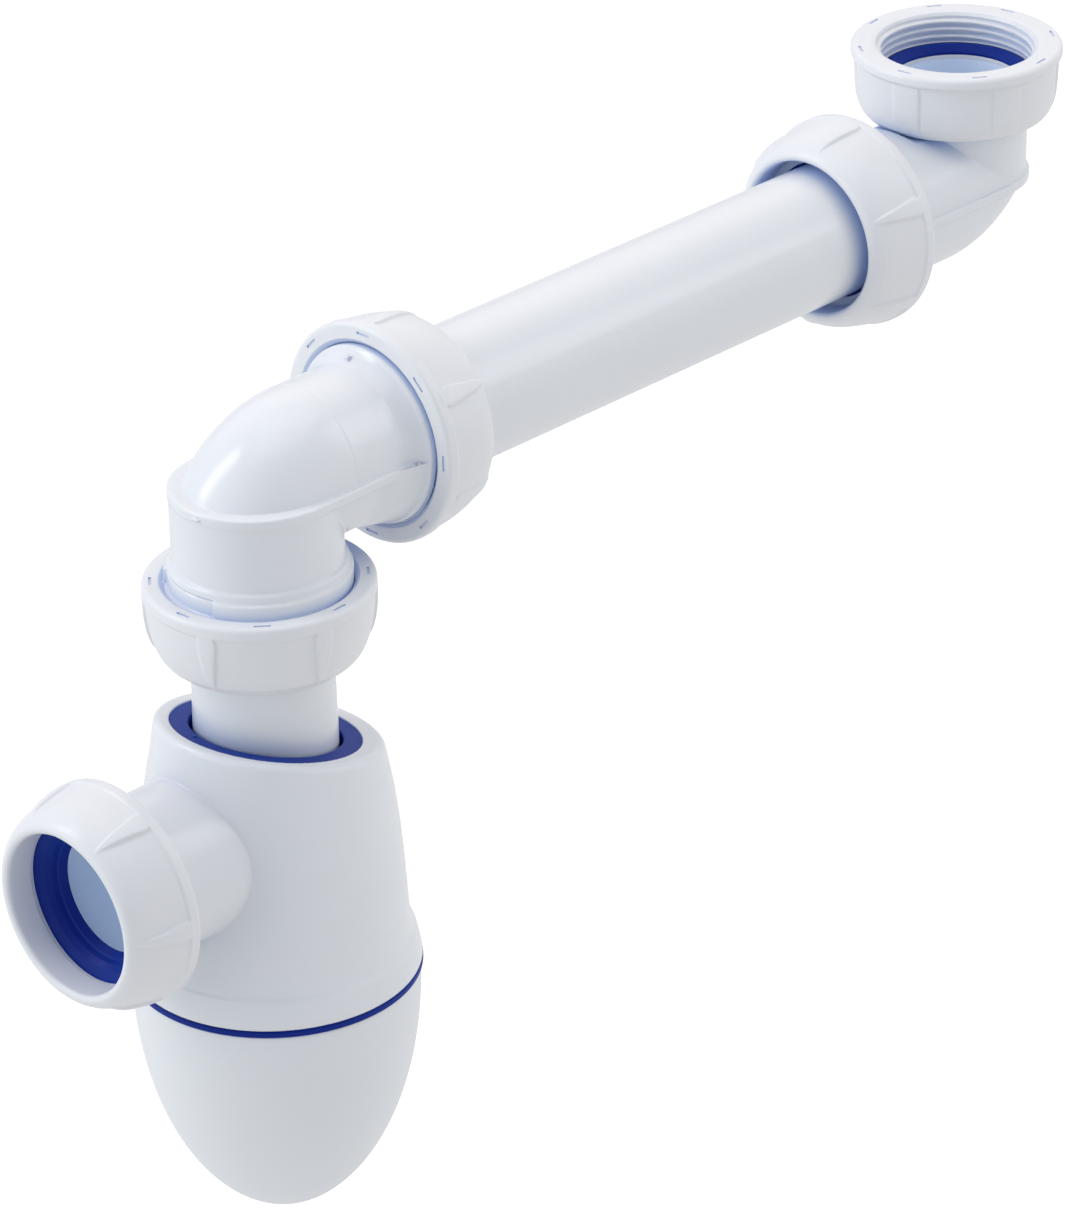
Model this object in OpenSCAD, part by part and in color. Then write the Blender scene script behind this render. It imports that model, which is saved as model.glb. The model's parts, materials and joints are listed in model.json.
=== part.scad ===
// Offset bottle trap for a sink: threaded inlet nut and elbow, horizontal
// offset pipe, lower elbow, sliding dip tube, bottle body with a side outlet
// and a quarter-turn cleanout cup. Millimetres, +Z up. The origin is the centre
// of the sealing face that the sink waste's tail screws down onto; the bottle
// and the outlet lie towards -X.

/* [Layout] */
// Distance from the inlet axis to the bottle axis
reach = 286; // [250:1:320]
// Depth of the offset pipe's axis below the inlet sealing face
pipe_drop = 33; // [33:0.5:45]
// Depth of the lower nut's mouth below the offset pipe's axis
riser_drop = 27.7; // [27.7:0.1:40]
// Depth of the outlet axis below the lower nut's mouth
outlet_drop = 74; // [74:0.5:90]
// Distance from the outlet nut's mouth to the bottle axis
outlet_reach = 54.4; // [54.4:0.1:70]

/* [Pipes] */
// Outside radius of the offset pipe and the dip tube
pipe_r = 20; // [20:0.05:20]
// Wall of the offset pipe and the dip tube
pipe_wall = 1.8; // [1.5:0.1:2.2]
// Depth of the dip tube's open end below the outlet axis
tube_dip = 66; // [50:1:70]
// Bore of the two sockets that take a 40 mm pipe
socket_r = 20.4; // [20.3:0.05:20.5]

/* [Threads] */
// Pitch of the trap's own coarse threads
coarse_pitch = 4; // [3.8:0.1:4.2]
// Pitch of the inlet thread, 11 turns to the inch
inlet_pitch = 2.309; // [2.2:0.001:2.4]
// Crest radius of the inlet nut's internal thread
inlet_crest_r = 22.42; // [22.3:0.01:22.6]
// Root radius of the inlet nut's internal thread
inlet_root_r = 23.9; // [23.7:0.01:24]

/* [Nuts] */
// Radius of the nuts' mouth flange
nut_r = 32; // [31.5:0.1:33]
// Length of the union nuts on the lower elbow
union_nut_h = 24.7; // [24.7:0.1:27]
// Length of the two compression nuts
comp_nut_h = 21; // [21:0.1:23]
// Number of grip ribs on each nut
rib_count = 6; // [4:1:8]
// Number of moulding slots in each nut's mouth face
slot_count = 8; // [6:1:12]

/* [Elbows] */
// Outside radius of the elbows' horizontal legs and outer bend
bend_r = 22; // [21.8:0.1:22.4]
// Radius of the bend's centreline
bend_c = 16; // [15:0.5:17]
// Offset of the outer bend's centre along the horizontal leg
dome_x = 18; // [17:0.5:19]
// Offset of the outer bend's centre across it, also the bend's own radius
dome_z = 23; // [22.5:0.5:24]
// Outside radius of the lower elbow's vertical leg
low_leg_r = 23.5; // [23.3:0.1:23.8]
// Outside radius of the inlet elbow's vertical leg
in_leg_r = 21.4; // [21.3:0.1:21.6]

/* [Bottle] */
// Outside radius of the gasket line between body and cup
gasket_r = 41.3; // [41.3:0.1:42]
// Outside radius of the cup's rim
cup_r = 40.57; // [40.5:0.01:41]
// Depth of the cup below its rim
cup_depth = 76.9; // [70:0.1:85]
// Wall of the body and the cup
shell = 2.4; // [2.2:0.1:2.6]
// Slope of the neck's slanted top
neck_slope = 13.5; // [10:0.5:14]
// Turn that opens the cup's bayonet
cup_turn = 50; // [45:1:50]
// Drop of the cup over that turn
cup_drop = 1.2; // [1:0.1:1.4]

/* [Hidden] */
$fn = 96;
overcut = 0.01;                     // how far a cut runs past a face

white = [0.93, 0.94, 0.96];
nut_white = [0.94, 0.94, 0.93];
blue = [0.12, 0.18, 0.62];
nylon = [0.86, 0.87, 0.86];

pipe_nut_reach = 44.9;              // inlet axis to the pipe nut's mouth
middle_reach = 41.8;                // bottle axis to the middle nut's mouth
body_depth = 119.1;                 // body's lower edge below the lower nut's mouth
gasket_gap = 2.1;                   // body's lower edge to the cup's rim

z_pipe = -pipe_drop;                // offset pipe's axis
z_lower = z_pipe - riser_drop;      // lower nut's mouth
z_outlet = z_lower - outlet_drop;   // outlet axis
z_cup = z_lower - body_depth - gasket_gap;
x_bottle = -reach;                  // bottle axis
x_middle = x_bottle + middle_reach; // middle nut's mouth
x_pipe_end = -32.3;                 // offset pipe's plain end

// where a union joint's parts sit behind its nut's mouth
union_face = -12.5;        // elbow's end face
union_seal_back = -15;     // far side of the flat seal
union_flange_back = -17.5; // far side of the pipe's flange
union_ring_back = -20.4;   // far side of the slip ring
union_step = -20.5;        // nut's shoulder
union_thread = -15;        // start of the thread
union_flange_r = 23.4;     // pipe's flange and flat seal
// where a compression joint's parts sit behind its nut's mouth
comp_face = -8.5;          // socket's end face
comp_ring_front = -11.45;  // near side of the slip ring
comp_ring_back = -12.4;    // far side of the slip ring
comp_step = -12.5;         // nut's shoulder
comp_thread = -12.9;       // start of the thread

// ---------------------------------------------------------------- placing
// joint frames: local +Z leaves the nut's mouth
module at_pipe_nut() {
  translate([-pipe_nut_reach, 0, z_pipe]) rotate([0, 90, 0]) children();
}
module at_middle() { translate([x_middle, 0, z_pipe]) rotate([0, -90, 0]) children(); }
module at_lower() { translate([x_bottle, 0, z_lower]) children(); }
module at_outlet() {
  translate([x_bottle - outlet_reach, 0, z_outlet]) rotate([0, 90, 0]) children();
}

// ---------------------------------------------------------------- outlines
// Outlines for rotate_extrude are [radius, z].
// from a table of [distance in from the rim, z]
function inset(rim_r, table) = [for (p = table) [rim_r - p[0], p[1]]];
// from a table of [radius, depth]
function sunk(table) = [for (p = table) [p[0], -p[1]]];

// flat ring standing on z = 0
module ring(outer_r, bore_r, height) {
  difference() {
    cylinder(r = outer_r, h = height);
    translate([0, 0, -overcut]) cylinder(r = bore_r, h = height + 1);
  }
}

// ---------------------------------------------------------------- threads
helix_segments = 36;                // segments per turn

// helical band of trapezoid section, base_r by base_w at its base, tip_r by tip_w at its tip
module helix(base_r, tip_r, base_w, tip_w, pitch, turns) {
  count = ceil(turns * helix_segments);
  last = 4 * count;
  points = [for (i = [0:count])
    let (turn = 360 * i / helix_segments, z = pitch * i / helix_segments)
    each [[base_r * cos(turn), base_r * sin(turn), z - base_w / 2],
          [base_r * cos(turn), base_r * sin(turn), z + base_w / 2],
          [tip_r * cos(turn), tip_r * sin(turn), z + tip_w / 2],
          [tip_r * cos(turn), tip_r * sin(turn), z - tip_w / 2]]];
  sides = [for (i = [0:count - 1]) for (k = [0:3])
    let (corner = 4 * i + k, next = 4 * i + (k + 1) % 4)
    each [[next, corner, next + 4], [next + 4, corner, corner + 4]]];
  caps = [[1, 2, 3], [0, 1, 3], [last + 1, last, last + 2], [last + 2, last, last + 3]];
  polyhedron(points = points, faces = concat(sides, caps), convexity = 8);
}

// groove cut in a nut and ridge grown on a collar: same start, same phase
module coarse_groove(start, turns) {
  translate([0, 0, start])
    helix(base_r = 25.3, tip_r = 27.1, base_w = 2.75, tip_w = 1.5,
      pitch = coarse_pitch, turns = turns);
}
// the ridge is trimmed just behind the collar's end face and at `top`
module coarse_ridge(start, turns, face, top) {
  low = face + 0.4;
  intersection() {
    translate([0, 0, start])
      helix(base_r = 25, tip_r = 26.8, base_w = 2.1, tip_w = 0.9,
        pitch = coarse_pitch, turns = turns);
    translate([0, 0, low]) cylinder(r = 28, h = top - low);
  }
}

// ---------------------------------------------------------------- nut parts
// Grip ribs: `leaf`, [depth behind the mouth, width across], is extruded
// outwards and kept inside the revolved `band`.
module grip_ribs(rim_r, band, leaf, start = 0) {
  intersection() {
    rotate_extrude() polygon(band);
    union() for (i = [0:rib_count - 1]) rotate(360 / rib_count * i + start)
      translate([rim_r - 12, 0, 0]) rotate([0, 90, 0])
        linear_extrude(13) polygon(leaf);
  }
}

// moulding slots in the mouth face
module rim_slots(rim_r) {
  for (i = [0:slot_count - 1]) rotate(360 / slot_count * (i + 0.25))
    translate([rim_r - 2.3, 0, 0]) cube([1, 4.4, 2], center = true);
}

// leaf-shaped ribs, wide at the flange and pointed at the small end
module union_ribs() {
  length = union_nut_h;
  grip_ribs(nut_r,
    band = inset(nut_r, [[1.6, -3], [0, -3], [0, -4], [0.1, -0.37 * length],
      [0.75, -0.55 * length], [2.3, -0.75 * length], [4.6, -0.88 * length],
      [6.5, -0.93 * length], [8, -0.9 * length], [6, -0.78 * length],
      [3.4, -0.55 * length], [1.9, -0.3 * length]]),
    leaf = [[3, -2.3], [4.7, -2.5], [0.5 * length, -1.7], [0.93 * length, 0],
      [0.5 * length, 1.7], [4.7, 2.5], [3, 2.3]]);
}

// nut that pulls a pipe's flange up against an elbow
module union_nut() {
  length = union_nut_h;
  outside = inset(nut_r, [[0.9, 0], [0, -0.8], [0, -3.5], [0.7, -4.2],
    [0.95, -0.37 * length], [1.6, -0.55 * length], [2.9, -0.75 * length],
    [4.9, -0.9 * length], [6.4, -0.97 * length], [7.6, -length]]);
  inside = [[pipe_r + 1, -length], [pipe_r + 0.6, -length + 0.5], [pipe_r + 0.6, union_step],
    [24.2, union_step], [24.2, -13.6], [25.9, -12.9], [25.9, -1.5], [27.2, 0]];
  difference() {
    union() {
      rotate_extrude() polygon(concat(outside, inside));
      union_ribs();
    }
    coarse_groove(union_thread, 4.7);
    rim_slots(nut_r);
  }
}

// slim leaf-shaped ribs
module comp_ribs() {
  grip_ribs(nut_r,
    band = inset(nut_r, [[1.6, -3], [0, -3], [0, -4.4], [0.55, -8], [1.2, -12],
      [2.1, -15.6], [3.95, -19.4], [6, -19.4], [5, -15], [3.6, -10], [2.8, -5]]),
    leaf = [[3, -1.7], [5.1, -1.8], [11, -1.4], [19.2, 0], [11, 1.4], [5.1, 1.8], [3, 1.7]]);
}

// nut that squeezes a seal round a plain pipe
module comp_nut() {
  length = comp_nut_h;
  // soft flare below the flange, broad rounded lip at the small end
  outside = inset(nut_r, [[0.9, 0], [0, -0.8], [0, -4], [0.4, -4.8], [1.3, -6.8], [1.7, -9],
    [2.15, 8.5 - length], [2.85, 5.3 - length], [3.7, 2.8 - length], [4.6, 1.1 - length],
    [5.7, 0.25 - length], [6.8, -length], [7.8, 0.1 - length]]);
  inside = [[23.5, 0.5 - length], [23.2, 1 - length], [23.2, comp_step], [24.7, comp_step],
    [24.7, -10.6], [25.9, -10], [25.9, -1.5], [27.2, 0]];
  difference() {
    union() {
      rotate_extrude() polygon(concat(outside, inside));
      comp_ribs();
    }
    coarse_groove(comp_thread, 4.2);
    rim_slots(nut_r);
  }
}

// ---------------------------------------------------------------- joint parts
// all in the frame of their nut
module union_seal() {
  translate([0, 0, union_seal_back])
    ring(union_flange_r, 18.6, union_face - union_seal_back);
}
module union_slip_ring() {
  translate([0, 0, union_ring_back])
    ring(24, pipe_r + 0.4, union_flange_back - 0.1 - union_ring_back);
}

// pipe hung by its flange in a union nut, running along -Z to a chamfered end
module flanged_pipe(length) {
  chamfer_h = 0.8;
  translate([0, 0, union_seal_back]) rotate([180, 0, 0]) difference() {
    union() {
      cylinder(r = pipe_r, h = length - chamfer_h);
      translate([0, 0, length - chamfer_h])
        cylinder(r1 = pipe_r, r2 = pipe_r - 0.6, h = chamfer_h);
      cylinder(r = union_flange_r, h = union_seal_back - union_flange_back);
    }
    translate([0, 0, -1]) cylinder(r = pipe_r - pipe_wall, h = length + 2);
  }
}

// threaded union collar grown along +Z to `root`; `step` is the outline behind the thread
module union_collar(leg_r, root, step) {
  rotate_extrude() polygon(concat(
    [[0, union_face], [25.1, union_face], [25.6, union_face + 0.5]], step,
    [[leg_r, root], [0, root]]));
  coarse_ridge(union_thread, 3.6, union_face, -1.4);
}

module comp_slip_ring() {
  translate([0, 0, comp_ring_back]) ring(24.55, 23.3, comp_ring_front - comp_ring_back);
}

// tapered lip seal: ring under the nut, cone in the socket's mouth
module lip_seal(bore_r) {
  rotate_extrude() polygon([[bore_r, -11.3], [bore_r + 2.6, -11.4], [24.5, -11.4],
    [24.5, comp_face - 0.05], [22.85, comp_face - 0.05], [20.75, -6.0], [bore_r, -6.4],
    [bore_r, -7.6], [bore_r + 0.9, -8.2], [bore_r + 0.9, -9.2], [bore_r, -9.8]]);
}

// outside of a compression socket's collar, continued by a plain leg of
// radius leg_r that starts at leg_z and ends at `back`
module comp_collar_solid(leg_r, leg_z, back) {
  rotate_extrude() polygon([[0, comp_face], [25.1, comp_face], [25.6, comp_face + 0.5],
    [25.6, -1], [25.2, -0.6], [23.6, 0.6], [leg_r, leg_z], [leg_r, back], [0, back]]);
}
module comp_ridge() { coarse_ridge(comp_thread, 3.1, comp_face, -1.2); }
// conical mouth of the socket
module socket_cone() { cylinder(r1 = 23, r2 = socket_r, h = 3); }

// ---------------------------------------------------------------- inlet
inlet_rim = 9.3;                    // inlet nut's rim above the sealing face
washer_h = 2.5;

// broad ribs with a blunt end
module inlet_ribs(rim_r) {
  grip_ribs(rim_r,
    band = inset(rim_r, [[2, -2.6], [0.5, -2.6], [0.6, -4.2], [0.8, -8], [1.2, -12],
      [1.8, -15.6], [2.9, -18.1], [5, -18.1], [4, -14], [2.8, -8]]),
    leaf = [[2, -4.4], [15, -4.1], [17.6, -3.4], [17.6, 3.4], [15, 4.1], [2, 4.4]],
    start = 11);
}

module inlet_nut() color(nut_white) translate([0, 0, inlet_rim]) {
  rim_r = nut_r - 0.6;
  length = 21.5;
  outside = inset(rim_r, [[0.8, 0], [0, -0.8], [0, -3.2], [1.1, -3.9], [1.35, -8], [1.7, -12],
    [2.2, -15.5], [3, -18.2], [4.3, -20.3], [6.2, -length]]);
  inside = [[in_leg_r + 0.8, -length], [in_leg_r + 0.5, -length + 0.4],
    [in_leg_r + 0.5, -inlet_rim - 5.7], [23.7, -inlet_rim - 5.7], [23.7, -inlet_rim - 0.6],
    [inlet_crest_r, -inlet_rim + 0.05], [inlet_crest_r, -2.2],
    [24.1, -0.9], [24.1, -0.3], [26.3, -0.3], [26.4, 0]];
  difference() {
    union() {
      rotate_extrude() polygon(concat(outside, inside));
      inlet_ribs(rim_r);
    }
    translate([0, 0, -inlet_rim - 1.6])
      helix(base_r = inlet_crest_r - 0.4, tip_r = inlet_root_r, base_w = 1.9, tip_w = 0.45,
        pitch = inlet_pitch, turns = 4.4);
    rim_slots(rim_r);
  }
}

module inlet_washer() color(blue) {
  rotate_extrude() polygon([[18.6, -washer_h], [22.3, -washer_h], [22.3, -0.3], [22, 0],
    [20.6, 0], [20.2, -0.3], [18.6, -1.6]]);
}

// ---------------------------------------------------------------- inlet elbow
parting_lap = 0.3;                  // outer bends run this far past the pipe's axis

// bore of a quarter bend, its section trimmed at the bend's own axis
module bend_bore(bore_r) {
  rotate([90, 0, 0]) rotate_extrude(angle = 90) intersection() {
    translate([bend_c, 0]) circle(bore_r);
    translate([0, -bore_r - 1]) square([bend_c + bore_r + 2, 2 * bore_r + 2]);
  }
}

// outside of a bend, swept about its own wider centreline
module dome_sweep(outer_r) {
  rotate([90, 0, 0]) rotate_extrude(angle = 90) translate([dome_z, 0]) circle(outer_r);
}

module inlet_elbow_outside() {
  flange_h = 3.1;
  flare_h = 2.5;
  z_flange = -washer_h - flange_h;
  // vertical leg, the flange that carries the washer and the flare under it
  translate([0, 0, z_pipe]) cylinder(r = in_leg_r, h = -washer_h - z_pipe);
  translate([0, 0, z_flange]) cylinder(r = 23.3, h = flange_h);
  translate([0, 0, z_flange - flare_h])
    cylinder(r1 = in_leg_r, r2 = in_leg_r + 0.35, h = flare_h);
  // outer bend, below the parting plane
  intersection() {
    translate([-dome_x, 0, z_pipe + dome_z]) rotate([0, 90, 0]) dome_sweep(bend_r - 0.3);
    translate([-60, -30, z_pipe - 30]) cube([90, 60, 30 + parting_lap]);
  }
  // upper half of the horizontal leg
  intersection() {
    at_pipe_nut() cylinder(r = bend_r - 0.05, h = pipe_nut_reach);
    translate([-pipe_nut_reach, -30, z_pipe]) cube([pipe_nut_reach, 60, 40]);
  }
  // threaded socket collar
  at_pipe_nut() {
    difference() {
      comp_collar_solid(leg_r = bend_r, leg_z = 0.6, back = pipe_nut_reach - dome_x);
      translate([0, 0, comp_face]) socket_cone();
    }
    comp_ridge();
  }
  // moulding rib in the parting plane
  translate([0, 0, z_pipe - 0.3]) linear_extrude(2.6) {
    difference() {
      circle(in_leg_r + 1);
      translate([-30, -30]) square([30, 60]);
    }
    translate([-pipe_nut_reach + 1.5, -bend_r - 0.8])
      square([pipe_nut_reach - 1.5, 2 * bend_r + 1.6]);
  }
}

module inlet_elbow() color(white) {
  socket_lead = 12;   // socket bore starts this far before the nut's mouth
  socket_end = 28.8;  // socket's inner end, distance from the inlet axis
  difference() {
    inlet_elbow_outside();
    // flat on the horizontal leg, where the inlet nut turns over it
    translate([0, 0, -12.7]) difference() {
      cylinder(r = 28.2, h = 4.1);
      translate([0, 0, -1]) cylinder(r = in_leg_r + 0.25, h = 8);
    }
    // water way: vertical bore, bend, pipe socket, horizontal bore
    translate([0, 0, z_pipe + 4]) cylinder(r = 18.6, h = 40);
    translate([-bend_c, 0, z_pipe + bend_c]) rotate([0, 90, 0]) bend_bore(18);
    at_pipe_nut() translate([0, 0, -socket_lead])
      cylinder(r = socket_r, h = pipe_nut_reach + socket_lead - socket_end);
    at_pipe_nut() cylinder(r = 18.3, h = pipe_nut_reach - 8);
  }
}

module pipe_nut() color(nut_white) at_pipe_nut() comp_nut();
module pipe_slip_ring() color(nylon) at_pipe_nut() comp_slip_ring();
module pipe_seal() color(blue) at_pipe_nut() lip_seal(pipe_r + 0.05);

// ---------------------------------------------------------------- offset pipe
module offset_pipe() color(white)
  at_middle() flanged_pipe(x_pipe_end - x_middle + union_seal_back);

module middle_seal() color(blue) at_middle() union_seal();
module middle_slip_ring() color(nylon) at_middle() union_slip_ring();
module middle_nut() color(nut_white) at_middle() union_nut();

// ---------------------------------------------------------------- lower elbow
module lower_elbow_outside() {
  side_leg_r = bend_r + 0.2;
  rib_start_r = low_leg_r + 0.4;
  rib_end_r = bend_r + 0.9;
  // vertical leg, full round up to the pipe's axis
  at_lower() union_collar(low_leg_r, riser_drop,
    step = [[25.6, 3.4], [24.85, 3.7], [24.7, 5.8], [low_leg_r, 6.4]]);
  // outer bend, above the parting plane
  intersection() {
    translate([x_bottle + dome_x, 0, z_pipe - dome_z]) rotate([0, -90, 0])
      dome_sweep(bend_r - 0.1);
    translate([x_bottle - 30, -30, z_pipe - parting_lap]) cube([90, 60, 30]);
  }
  // horizontal leg: collar, then the lower half back to the bottle axis
  at_middle() union_collar(side_leg_r, middle_reach - dome_x,
    step = [[25.6, 0.6], [24.8, 1.4], [23.2, 3.6], [side_leg_r, 6.6]]);
  intersection() {
    translate([x_bottle, 0, z_pipe]) rotate([0, 90, 0])
      cylinder(r = bend_r - 0.05, h = dome_x + 1);
    translate([x_bottle, -30, z_pipe - 30]) cube([dome_x + 1, 60, 30]);
  }
  // moulding rib in the parting plane
  translate([x_bottle, 0, z_pipe - 0.9]) linear_extrude(1.2) {
    difference() {
      circle(rib_start_r);
      translate([0, -30]) square([30, 60]);
    }
    polygon([[-0.1, -rib_start_r], [39.5, -rib_end_r], [39.5, rib_end_r], [-0.1, rib_start_r]]);
  }
}

module lower_elbow() color(white) {
  bore_r = 19;
  difference() {
    lower_elbow_outside();
    // water way: vertical bore, rounded corner, horizontal bore
    translate([x_bottle, 0, z_lower + union_face - 1])
      cylinder(r = bore_r, h = riser_drop - union_face + 1 - 4);
    translate([x_bottle + 4, 0, z_pipe - 4]) sphere(18.6);
    translate([x_bottle + 8, 0, z_pipe]) rotate([0, 90, 0]) cylinder(r = bore_r, h = 60);
  }
}

module lower_seal() color(blue) at_lower() union_seal();
module lower_slip_ring() color(nylon) at_lower() union_slip_ring();
module lower_nut() color(nut_white) at_lower() union_nut();

module dip_tube() color(white)
  at_lower() flanged_pipe(outlet_drop + tube_dip + union_seal_back);

// ---------------------------------------------------------------- bottle
// depths here are below the lower nut's mouth, z_lower
neck_mid = 46.9;     // slanted top on the bottle axis
neck_floor = 60;     // neck seal's seat
body_top = 34;       // top of the body before the slant cuts it

// outside of the body, [radius, depth]
body_edge = [[29.4, body_top], [30.6, 42], [31.2, 46], [31.85, 50], [32.5, 54], [33.3, 58],
  [34, 62], [34.8, 67], [35.45, 72], [36.1, 78], [36.6, 84], [37.05, 90], [37.4, 96],
  [37.65, 101], [37.75, 104], [38.2, 106], [38.75, 108], [39.35, 110], [39.9, 112],
  [40.35, 114], [40.75, 116], [41.05, 118], [41.2, body_depth],
  [0, body_depth], [0, body_top]];

// inside of the body, [radius, depth]
chamber_edge = [[0, 62.6], [28.5, 62.6], [31.3, 65], [33, 72], [34.2, 84], [35, 96],
  [35.3, 103], [35.5, 107.5], [36.6, 108.2], [36.6, 121], [0, 121]];

// bayonet, angles from the middle of a locked lug
lug_count = 3;
lug_half = 11;       // half the angle of a lug
slot_half = 13;      // half the angle of a slot's way in
lug_root_r = 35;     // inner radius of lugs and slots

module at_lugs() {
  for (k = [0:lug_count - 1]) rotate(360 / lug_count * k + 20) children();
}

// keeps what lies below the neck's slanted top, moved down by `low`
module below_slant(low) {
  translate([x_bottle, 0, z_lower - neck_mid - low]) rotate([0, neck_slope, 0])
    translate([-90, -70, -200]) cube([180, 140, 200]);
}

module neck_seal() color(blue) intersection() {
  bore_r = pipe_r + 0.06;
  upper_r = pipe_r + 1.4;
  translate([x_bottle, 0, z_lower - neck_floor]) rotate_extrude()
    polygon([[bore_r, 0], [26.3, 0], [26.3, 30], [upper_r, 30], [upper_r, 4.5], [bore_r, 2.5]]);
  below_slant(0.3);
}

// ramped slot for one bayonet lug, from its locked place to its way in
module bayonet_slot() {
  steps = 7;
  step_angle_total = cup_turn + 2 * slot_half;
  for (i = [0:steps - 1])
    let (from = -slot_half + step_angle_total * i / steps,
      to = -slot_half + step_angle_total * (i + 1) / steps,
      ledge = -113.75 - cup_drop * (min(to, cup_turn) + lug_half) / cup_turn,
      roof = -110.9 + 0.05 * i)
    translate([0, 0, ledge]) rotate(from) rotate_extrude(angle = to - from + 0.8)
      translate([lug_root_r, 0]) square([3 + 0.04 * i, roof - ledge]);
  // way in, open at the body's lower edge
  rotate(cup_turn - slot_half) translate([0, 0, -120]) rotate_extrude(angle = 26.2)
    translate([lug_root_r, 0]) square([3.4, 120 - 110.5]);
}

module bottle_body() color(white) {
  difference() {
    union() {
      intersection() {
        at_lower() rotate_extrude() polygon(sunk(body_edge));
        below_slant(0);
      }
      // outlet stub with its threaded socket
      at_outlet() comp_collar_solid(leg_r = 22.5, leg_z = 1, back = 24);
      at_outlet() comp_ridge();
    }
    // seat of the neck seal and the way through for the dip tube
    at_lower() translate([0, 0, -neck_floor]) cylinder(r = 26.35, h = 40);
    at_lower() translate([0, 0, -neck_floor - 6]) cylinder(r = pipe_r + 1.6, h = 20);
    // chamber
    at_lower() rotate_extrude() polygon(sunk(chamber_edge));
    at_lower() at_lugs() bayonet_slot();
    // outlet socket and its way into the chamber
    at_outlet() translate([0, 0, comp_face - overcut]) socket_cone();
    at_outlet() translate([0, 0, comp_face - 1]) cylinder(r = socket_r, h = 10 - comp_face + 1);
    at_outlet() cylinder(r = 17, h = 30);
  }
}

module outlet_seal() color(blue) at_outlet() lip_seal(pipe_r + 0.2);
module outlet_slip_ring() color(nylon) at_outlet() comp_slip_ring();
module outlet_nut() color(nut_white) at_outlet() comp_nut();

// ---------------------------------------------------------------- cup
module cup_gasket() color(blue) translate([x_bottle, 0, z_cup]) ring(gasket_r, 36.75, 2.05);

cup_steps = 22;      // points down one side of the cup's bowl
// station i on the bowl's curve, a superellipse from rim to bottom
function bowl_point(i, rim_r, depth) = let (drop = sin(90 * i / cup_steps))
  [rim_r * pow(1 - pow(drop, 2.124), 1 / 1.887), -depth * drop];

module cleanout_cup() color(white) translate([x_bottle, 0, 0]) {
  inner_r = cup_r - shell;
  collar_bore_r = 33.8;
  collar_r = 36.2;
  collar_h = 12.5;
  translate([0, 0, z_cup]) rotate_extrude() polygon(concat(
    [[cup_r - 0.4, -0.05], [cup_r, -0.5]],
    [for (i = [1:cup_steps]) bowl_point(i, cup_r, cup_depth)],
    [for (i = [cup_steps:-1:1]) bowl_point(i, inner_r, cup_depth - shell)],
    [[inner_r, -1], [inner_r, -3], [collar_bore_r, 2], [collar_bore_r, collar_h],
     [collar_r, collar_h], [collar_r, -0.05]]));
  // bayonet lugs
  at_lugs() translate([0, 0, z_lower - 113.6]) rotate(-lug_half)
    rotate_extrude(angle = 2 * lug_half) translate([lug_root_r, 0]) square([2.7, 2.4]);
}

inlet_nut();
inlet_washer();
inlet_elbow();
pipe_nut();
pipe_slip_ring();
pipe_seal();
offset_pipe();
middle_nut();
middle_slip_ring();
middle_seal();
lower_elbow();
lower_nut();
lower_slip_ring();
lower_seal();
dip_tube();
neck_seal();
bottle_body();
outlet_seal();
outlet_slip_ring();
outlet_nut();
cup_gasket();
cleanout_cup();
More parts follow.
